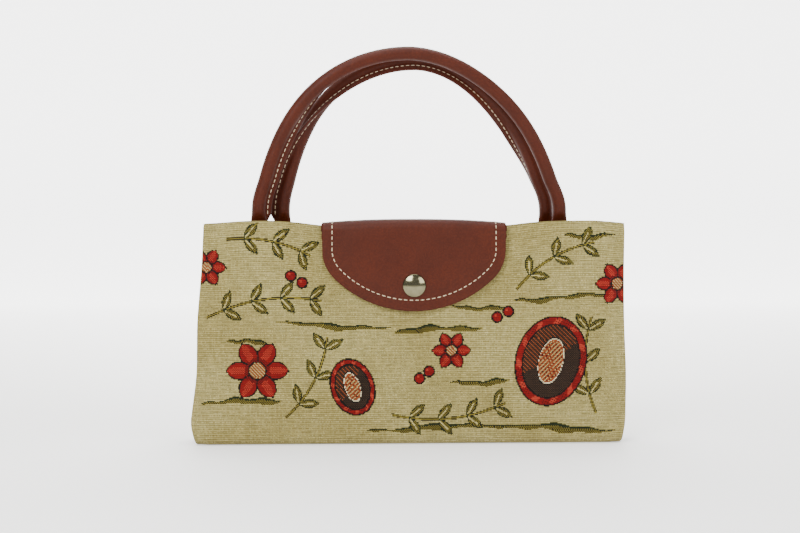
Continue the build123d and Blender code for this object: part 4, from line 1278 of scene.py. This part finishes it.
@dataclass
class RolledHandle:
    """A rolled handle: a round arch with a sewn flange, flat at both ends in sewn tabs; in millimetres."""
    name: str
    centre_x: float
    y: float
    half_span: float
    rise: float
    flange_turns: tuple
    hinge_z: float = 167.8
    radius: float = 5.0
    flange: float = 4.6
    flange_half: float = 1.0
    seam_share: float = 0.3
    slumps: tuple = (3.8, 5.6)
    shoulder_sag: float = 4.5
    turn_from: float = 0.42
    turn_to: float = 0.98
    slump_over: float = 25.0
    sag_over: float = 30.0
    sag_in: float = 0.75
    sag_down: float = 0.66
    crown_angle: float = 62.0
    tab_width: float = 17.0
    neck_width: float = 11.5
    neck_from: float = 146.0
    neck_over: float = 12.0
    tab_thickness: float = 2.4
    tab_bottom: float = 120.5
    tab_stitch_inset: float = 2.6
    flat_below: float = 158.5
    round_above: float = 168.5

    def path(self) -> tuple[Array, Array]:
        """Give the handle's line.

        A straight rise, a side arc, a crown arc and the same mirrored, all tangent. Each side then slumps
        inwards by a sine of its height, and the right shoulder sags by a sine of its distance from the
        middle.

        Returns:
            The centre line from one tab's end over the arch to the other, and its outward ways.
        """
        crown = math.radians(self.crown_angle)
        share = math.sin(crown) + math.cos(crown) - 1
        crown_radius = (self.half_span * math.cos(crown) - self.rise * (1 - math.sin(crown))) / share
        side_radius = (self.rise * math.sin(crown) - self.half_span * (1 - math.cos(crown))) / share
        tab_z = self.tab_bottom + self.tab_width / 2 * (1 - np.cos(np.linspace(0, math.pi / 2, 9)))
        tab_z = np.concatenate([tab_z, np.linspace(tab_z[-1], self.hinge_z, 34)[1:]]) - self.hinge_z
        rise = np.stack([np.full_like(tab_z, -self.half_span), tab_z], axis=-1)
        rise_out = np.tile([-1.0, 0.0], (len(tab_z), 1))
        turn = np.linspace(0, math.pi / 2 - crown, 28)[1:]
        side_out = np.stack([-np.cos(turn), np.sin(turn)], axis=-1)
        side = side_radius * side_out + [side_radius - self.half_span, 0.0]
        turn = np.linspace(-crown, 0, 70)[1:]
        top_out = np.stack([np.sin(turn), np.cos(turn)], axis=-1)
        top = crown_radius * top_out + [0.0, self.rise - crown_radius]
        line = np.concatenate([rise, side, top])
        out = np.concatenate([rise_out, side_out, top_out])
        mirror = np.array([-1.0, 1.0])
        line = np.concatenate([line, line[-2::-1] * mirror])
        out = np.concatenate([out, out[-2::-1] * mirror])
        height = np.clip(line[:, 1] / self.rise, 0, 1)
        slump = np.where(line[:, 0] < 0, self.slumps[0], self.slumps[1]) * np.sin(math.pi * height ** 0.8)
        slump = slump * ease(line[:, 1] / self.slump_over)
        sag = self.shoulder_sag * np.sin(math.pi * np.clip(line[:, 0] / self.half_span, 0, 1) ** 1.3)
        sag = sag * ease(line[:, 1] / self.sag_over)
        inwards = np.sign(line[:, 0]) * slump + self.sag_in * sag
        line = line - np.stack([inwards, self.sag_down * sag], axis=-1)
        zero = np.zeros(len(line))
        path = np.stack([line[:, 0] + self.centre_x, zero + self.y, line[:, 1] + self.hinge_z], axis=-1)
        return path, np.stack([out[:, 0], zero, out[:, 1]], axis=-1)

    def turns(self, path: Array) -> Array:
        """Give the flange's turn in radians, eased from each foot to the crown."""
        height = (path[:, 2] - self.hinge_z) / self.rise
        low = 1 - ease((height - self.turn_from) / (self.turn_to - self.turn_from))
        left, crown, right = self.flange_turns
        foot = np.where(path[:, 0] < self.centre_x, left, right)
        return np.radians(crown + (foot - crown) * low)

    def sections(self, path: Array) -> Array:
        """Give the section at each path point.

        Above it is a tube with a flange, turned as the flange turns. Below it is a flat oval, whose points
        are powers of a cosine and a sine, and which is round at the tab's end. Between them it is blended.

        Args:
            path: The handle's line.

        Returns:
            Section points, one row a path point.
        """
        bow = np.radians(np.linspace(-158, 158, 25))
        tube = np.stack([np.cos(bow), np.sin(bow)], axis=-1) * self.radius
        low, high = -self.radius - self.flange, -self.radius - 0.6
        lip = np.array([[high, 1.25], [low + 0.6, 1.0], [low + 0.1, 0.65]])
        lip = np.concatenate([lip, lip[::-1] * [1.0, -1.0]]) * [1.0, self.flange_half]
        ring = np.concatenate([tube, lip])
        angle = np.concatenate([bow, np.radians([163, 170, 176, 184, 190, 197])])
        z = path[:, 2]
        turn = self.turns(path)[:, None]
        spun = np.stack(turned_by(ring[:, 0], ring[:, 1], turn), axis=-1)
        below = np.clip((self.tab_bottom + self.tab_width / 2 - z) / (self.tab_width / 2), 0, 0.97)
        neck = (self.neck_width - self.tab_width) * ease((z - self.neck_from) / self.neck_over)
        half = ((self.tab_width + neck) / 2 * np.sqrt(1 - below ** 2))[:, None]
        flat, thick = np.cos(angle + turn), np.sin(angle + turn)
        tabs = np.stack([
            half * np.sign(flat) * np.abs(flat) ** 0.35,
            self.tab_thickness / 2 * np.sign(thick) * np.abs(thick) ** 0.5,
        ], axis=-1)
        share = ease((z - self.flat_below) / (self.round_above - self.flat_below))[:, None, None]
        return tabs * (1 - share) + spun * share

    def build(self, material: Material) -> Piece:
        """Make the handle as one closed sweep."""
        path, out = self.path()
        across = np.tile([0.0, 1.0, 0.0], (len(path), 1))
        points, faces = swept(path, out, across, self.sections(path))
        return make_piece(f"{self.name}_leatherette", points, faces, material)

    def stitch_lines(self) -> list[tuple[Array, Array]]:
        """Give the flange's stitch lines on both of its faces, above where the handle turns flat."""
        path, out = self.path()
        keep = path[:, 2] > self.round_above - 4.0
        path, out = path[keep], out[keep]
        across = np.tile([0.0, 1.0, 0.0], (len(path), 1))
        turn = self.turns(path)[:, None]
        depth = -self.radius - self.seam_share * self.flange
        lines = []
        for face in (-1.0, 1.0):
            a, b = turned_by(depth, face * 1.12 * self.flange_half, turn)
            up = face * (np.cos(turn) * across - np.sin(turn) * out)
            lines.append((path + a * out + b * across, up))
        return lines

    def tab_lines(self) -> list[tuple[Array, Array]]:
        """Give the stitch lines round both tabs, on both faces."""
        half = self.tab_width / 2 - self.tab_stitch_inset
        angle = np.linspace(0, math.pi, 20)
        low = self.tab_bottom + self.tab_width / 2
        top = self.flat_below - 6.0
        x = np.concatenate([[half], half * np.cos(angle), [-half]])
        z = np.concatenate([[top], low - half * np.sin(angle), [top]])
        lines = []
        for side in (-1.0, 1.0):
            for face in (-1.0, 1.0):
                foot = self.centre_x + side * self.half_span
                level = np.full_like(x, self.y + face * (self.tab_thickness / 2 + 0.05))
                up = np.tile([0.0, face, 0.0], (len(x), 1))
                lines.append((np.stack([foot + x, level, z], axis=-1), up))
        return lines


@dataclass
class CoilZip:
    """The closed zip in the mouth: two woven tapes and two coils of nylon thread; in millimetres."""

    middle_y: float = 10.4
    wall: float = 6.2
    gap: float = 0.6
    tape: float = 0.8
    tape_top: float = 153.3
    skirt: float = 5.0
    half_tape: float = 146.0
    half_coil: float = 143.0
    coil_width: float = 1.5
    coil_height: float = 1.8
    wire: float = 0.62
    pitch: float = 1.6
    corner: float = 1.2
    slack: float = 0.12

    def build_tape(self, name: str, side: float, material: Material) -> Piece:
        """Make one tape: up along the wall, round a quarter circle and across to the coil.

        The level stretch sags by a slow sine wave.

        Args:
            name: The piece's name.
            side: -1 for the front, 1 for the rear.
            material: The tape's finish.

        Returns:
            The piece.
        """
        level = self.tape_top - self.tape / 2
        wall = self.wall - self.tape / 2
        turn = np.linspace(0, math.pi / 2, 7)
        level_far = np.linspace(wall - self.corner, self.gap, 6)[1:]
        skirt_z = np.linspace(self.tape_top - self.skirt, level - self.corner, 5)[:4]
        far = np.concatenate([[wall] * 4, wall - self.corner * (1 - np.cos(turn)), level_far])
        z = np.concatenate([skirt_z, level - self.corner * (1 - np.sin(turn)), np.full(5, level)])
        x = np.linspace(-self.half_tape, self.half_tape, 147)[:, None]
        z = z + self.slack * (np.sin(x / 9.0) * ease((wall - far) / 3.0) - 1)
        places = np.stack(np.broadcast_arrays(x, self.middle_y + side * far, z), axis=-1)
        points, faces = sheet_shell(places, self.tape)
        return make_piece(name, points, faces, material)

    def build_coil(self, name: str, side: float, material: Material) -> Piece:
        """Make one coil: a round wire along a flattened helix, ten steps a turn.

        Args:
            name: The piece's name.
            side: -1 for the front, 1 for the rear.
            material: The wire's finish.

        Returns:
            The piece.
        """
        turns = 2 * self.half_coil / self.pitch
        angle = np.linspace(0, 2 * math.pi * turns, int(10 * turns))
        x = -self.half_coil + self.pitch * angle / (2 * math.pi)
        half_y = (self.coil_width - self.wire) / 2
        half_z = (self.coil_height - self.wire) / 2
        y = self.middle_y + side * (self.gap + self.coil_width / 2) + half_y * np.cos(angle)
        z = self.tape_top + self.coil_height / 2 + half_z * np.sin(angle)
        path = np.stack([x, y, z], axis=-1)
        out = np.stack([0 * x, np.cos(angle), np.sin(angle)], axis=-1)
        ahead = unit(np.gradient(path, axis=0))
        out = unit(out - ahead * np.sum(out * ahead, axis=-1, keepdims=True))
        ring = np.linspace(0, 2 * math.pi, 5, endpoint=False)
        section = np.stack([np.cos(ring), np.sin(ring)], axis=-1) * self.wire / 2
        points, faces = swept(path, out, np.cross(ahead, out), np.tile(section, (len(path), 1, 1)))
        return make_piece(name, points, faces, material)


@dataclass
class Studio:
    """A pale floor, soft light and the camera at the photograph's place; lengths in metres."""

    camera_place: tuple = (-0.0433, -0.900, 0.158)
    camera_aim: tuple = (-0.0100, -0.018, 0.1285)
    lens: float = 55.5
    sensor: float = 36.0
    paper: str = "#f4f3f1"
    paper_shade: str = "#f0efed"
    near_glow: float = 0.45
    far_glow: float = 3.4
    sky: float = 0.42
    soft_boxes: tuple = (
        ((-0.45, -0.95, 0.85), (0.0, 0.0, 0.12), 0.6, 18.0),
        ((0.75, -0.80, 0.60), (0.0, 0.0, 0.12), 0.6, 7.0),
        ((0.0, 0.05, 1.10), (0.0, 0.0, 0.10), 0.7, 13.0),
        ((0.0, 0.80, 0.75), (0.0, 0.0, 0.12), 0.8, 5.0),
    )

    def build(self) -> None:
        """Make the lit sweep that serves as floor and backdrop, the lights and the camera."""
        self.build_sweep()
        for number, (place, aim, size, power) in enumerate(self.soft_boxes):
            light = bpy.data.lights.new(f"soft_box_{number}", "AREA")
            light.size = size
            light.energy = power
            self.aimed(light, place, aim)
        world = bpy.data.worlds.new("studio")
        world.use_nodes = True
        sky = world.node_tree.nodes["Background"].inputs
        sky["Color"].default_value = linear("#ffffff")
        sky["Strength"].default_value = self.sky
        bpy.context.scene.world = world
        camera = bpy.data.cameras.new("camera")
        camera.lens = self.lens
        camera.sensor_width = self.sensor
        bpy.context.scene.camera = self.aimed(camera, self.camera_place, self.camera_aim)

    def build_sweep(self) -> None:
        """Make the sweep: a flat floor that curves up behind, lit from within towards the rear."""
        run = np.array([-7.0, -1.0, -0.3, 0.3, 1.0, 1.6, 1.95, 2.15, 2.25, 2.3, 2.3])
        rise = np.array([0.0, 0.0, 0.0, 0.0, 0.0, 0.0, 0.05, 0.18, 0.40, 0.8, 2.4])
        x = np.linspace(-6.0, 6.0, 13)
        grid = np.stack(np.broadcast_arrays(x[:, None], run[None], rise[None]), axis=-1) / MM
        acrylic, tree = new_material("opal_acrylic_sweep")
        place = add(tree, "TexCoord", output="Object")
        cloud = add(tree, "TexNoise", {"Vector": place, "Scale": 3.0})
        colour = tinted(tree, self.paper, ((cloud, 0.0, 1.0, 1.0, self.paper_shade),))
        back = add(tree, "SeparateXYZ", {0: place}, 1)
        glow = add(tree, "MapRange", {
            "Value": back, "From Min": 0.05, "From Max": 1.6,
            "To Min": self.near_glow, "To Max": self.far_glow,
        })
        set_shader(
            tree, {"Roughness": 0.7, "Specular IOR Level": 0.2, "Emission Color": "#ffffff"},
            {"Base Color": colour, "Emission Strength": glow},
        )
        make_piece("floor", grid.reshape(-1, 3), [grid_quads(len(x), len(run))], acrylic)

    def aimed(self, data: bpy.types.Light | bpy.types.Camera, place: tuple, aim: tuple) -> Piece:
        """Put a light or a camera in the scene.

        Args:
            data: The light or camera.
            place: Where it stands.
            aim: What it looks at.

        Returns:
            Its object.
        """
        holder = bpy.data.objects.new(data.name, data)
        holder.location = place
        holder.rotation_euler = (Vector(aim) - Vector(place)).to_track_quat("-Z", "Y").to_euler()
        bpy.context.scene.collection.objects.link(holder)
        return holder


def dress(node: str, material: Material) -> None:
    """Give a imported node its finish."""
    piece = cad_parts[node]
    for slot in piece.material_slots:
        slot.material = material
    if not piece.material_slots:
        piece.data.materials.append(material)


def set_outer_cloth(bag: FoldedBag, tapestry: Material) -> None:
    """Make the two halves of the outer cloth, which stand for the back panel and its woven fields."""
    front = bag.woven_face("tapestry_front", -1.0, (388, 216), 4, tapestry)
    rear = bag.woven_face("tapestry_rear", 1.0, (304, 172), 4, tapestry)
    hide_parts("back_panel", "woven_field_tan", "woven_field_dark", "woven_field_red",
                "woven_field_stems", "woven_field_green")
    for piece in (front, rear):
        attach(piece, "bag")


def set_flap(flap: SnapFlap, leatherette: Material, cream: Material) -> None:
    """Make the flap and its stitches, which follow it over the top."""
    cover = flap.build(leatherette)
    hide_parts("flap_outer", "flap_backing", "flap_anchor")
    stitches = make_piece("flap_stitches", *StitchRow().build(flap.stitch_lines()), cream)
    for piece in (cover, stitches):
        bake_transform(piece)


def set_handle(handle: RolledHandle, leatherette: Material, cream: Material) -> None:
    """Make a handle, the stitches along its flange, and the stitches round its tabs, which ride on the bag.
    """
    name = handle.name
    cover = handle.build(leatherette)
    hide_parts(f"{name}_cover", f"{name}_core", f"{name}_tab_left", f"{name}_tab_right")
    seam = make_piece(f"{name}_stitches", *StitchRow(pitch=3.9).build(handle.stitch_lines()), cream)
    for piece in (cover, seam):
        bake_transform(piece)
    tabs = make_piece(f"{name}_tab_stitches", *StitchRow(pitch=3.6).build(handle.tab_lines()), cream)
    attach(tabs, "bag")


def set_inner_cloth(bag: FoldedBag, tapestry: Material) -> None:
    """Make the doubled inner panel, the two gussets and the base panel."""
    pieces = [bag.inner_sheet(side, tapestry) for side in (-1.0, 1.0)]
    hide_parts("front_panel")
    for hand, side in (("left", -1.0), ("right", 1.0)):
        gusset = bag.gusset(f"{hand}_gusset_cloth", side, tapestry)
        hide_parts(f"{hand}_gusset")
        pieces.append(gusset)
    base = bag.base(tapestry)
    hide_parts("base_panel")
    for piece in (*pieces, base):
        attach(piece, "bag")


def set_zip(closure: CoilZip, tape: Material, nylon: Material) -> None:
    """Make the zip's two tapes and two coils."""
    for name, side in (("front", -1.0), ("rear", 1.0)):
        strip = closure.build_tape(f"zip_tape_{name}_twill", side, tape)
        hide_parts(f"zip_tape_{name}")
        coil = closure.build_coil(f"zip_coil_{name}_nylon", side, nylon)
        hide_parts(f"zip_coil_{name}")
        for piece in (strip, coil):
            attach(piece, "bag")


def set_metal(flap: SnapFlap, nickel: Material) -> None:
    """Make the snap's cap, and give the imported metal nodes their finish."""
    cap = flap.cap(nickel)
    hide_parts("snap_cap")
    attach(cap, "flap")
    for node in ("zip_stop_left", "zip_stop_right", "zip_slider", "zip_puller", "snap_socket", "snap_stud",
                 "snap_post"):
        dress(node, nickel)


def main() -> None:
    """Build the bag in order, and set the cloth, the zip, the tab stitches and the snap's cap on their
    bodies.
    """
    logging.basicConfig(level=logging.INFO)
    tapestry = JacquardTapestry().build()
    leatherette = Leatherette().build()
    nickel = PolishedMetal().build()
    cream = TwistedThread("cream_thread", "#cbbb9c", "#a8977a").build()
    tape = WovenTape().build()
    nylon = NylonWire().build()
    Studio().build()
    bag = FoldedBag()
    flap = SnapFlap()
    front_handle = RolledHandle("front_handle", -2.2, 1.7, 110.0, 115.3, (-14.0, -84.0, -84.0))
    rear_handle = RolledHandle(
        "rear_handle", 2.6, 19.1, 98.0, 112.5, (160.0, 40.0, -72.0), flange=5.0, slumps=(2.6, 4.8),
        shoulder_sag=5.5, turn_from=0.12,
    )
    set_outer_cloth(bag, tapestry)
    set_flap(flap, leatherette, cream)
    for handle in (front_handle, rear_handle):
        set_handle(handle, leatherette, cream)
    set_inner_cloth(bag, tapestry)
    set_zip(CoilZip(), tape, nylon)
    set_metal(flap, nickel)


if __name__ == "__main__":
    main()
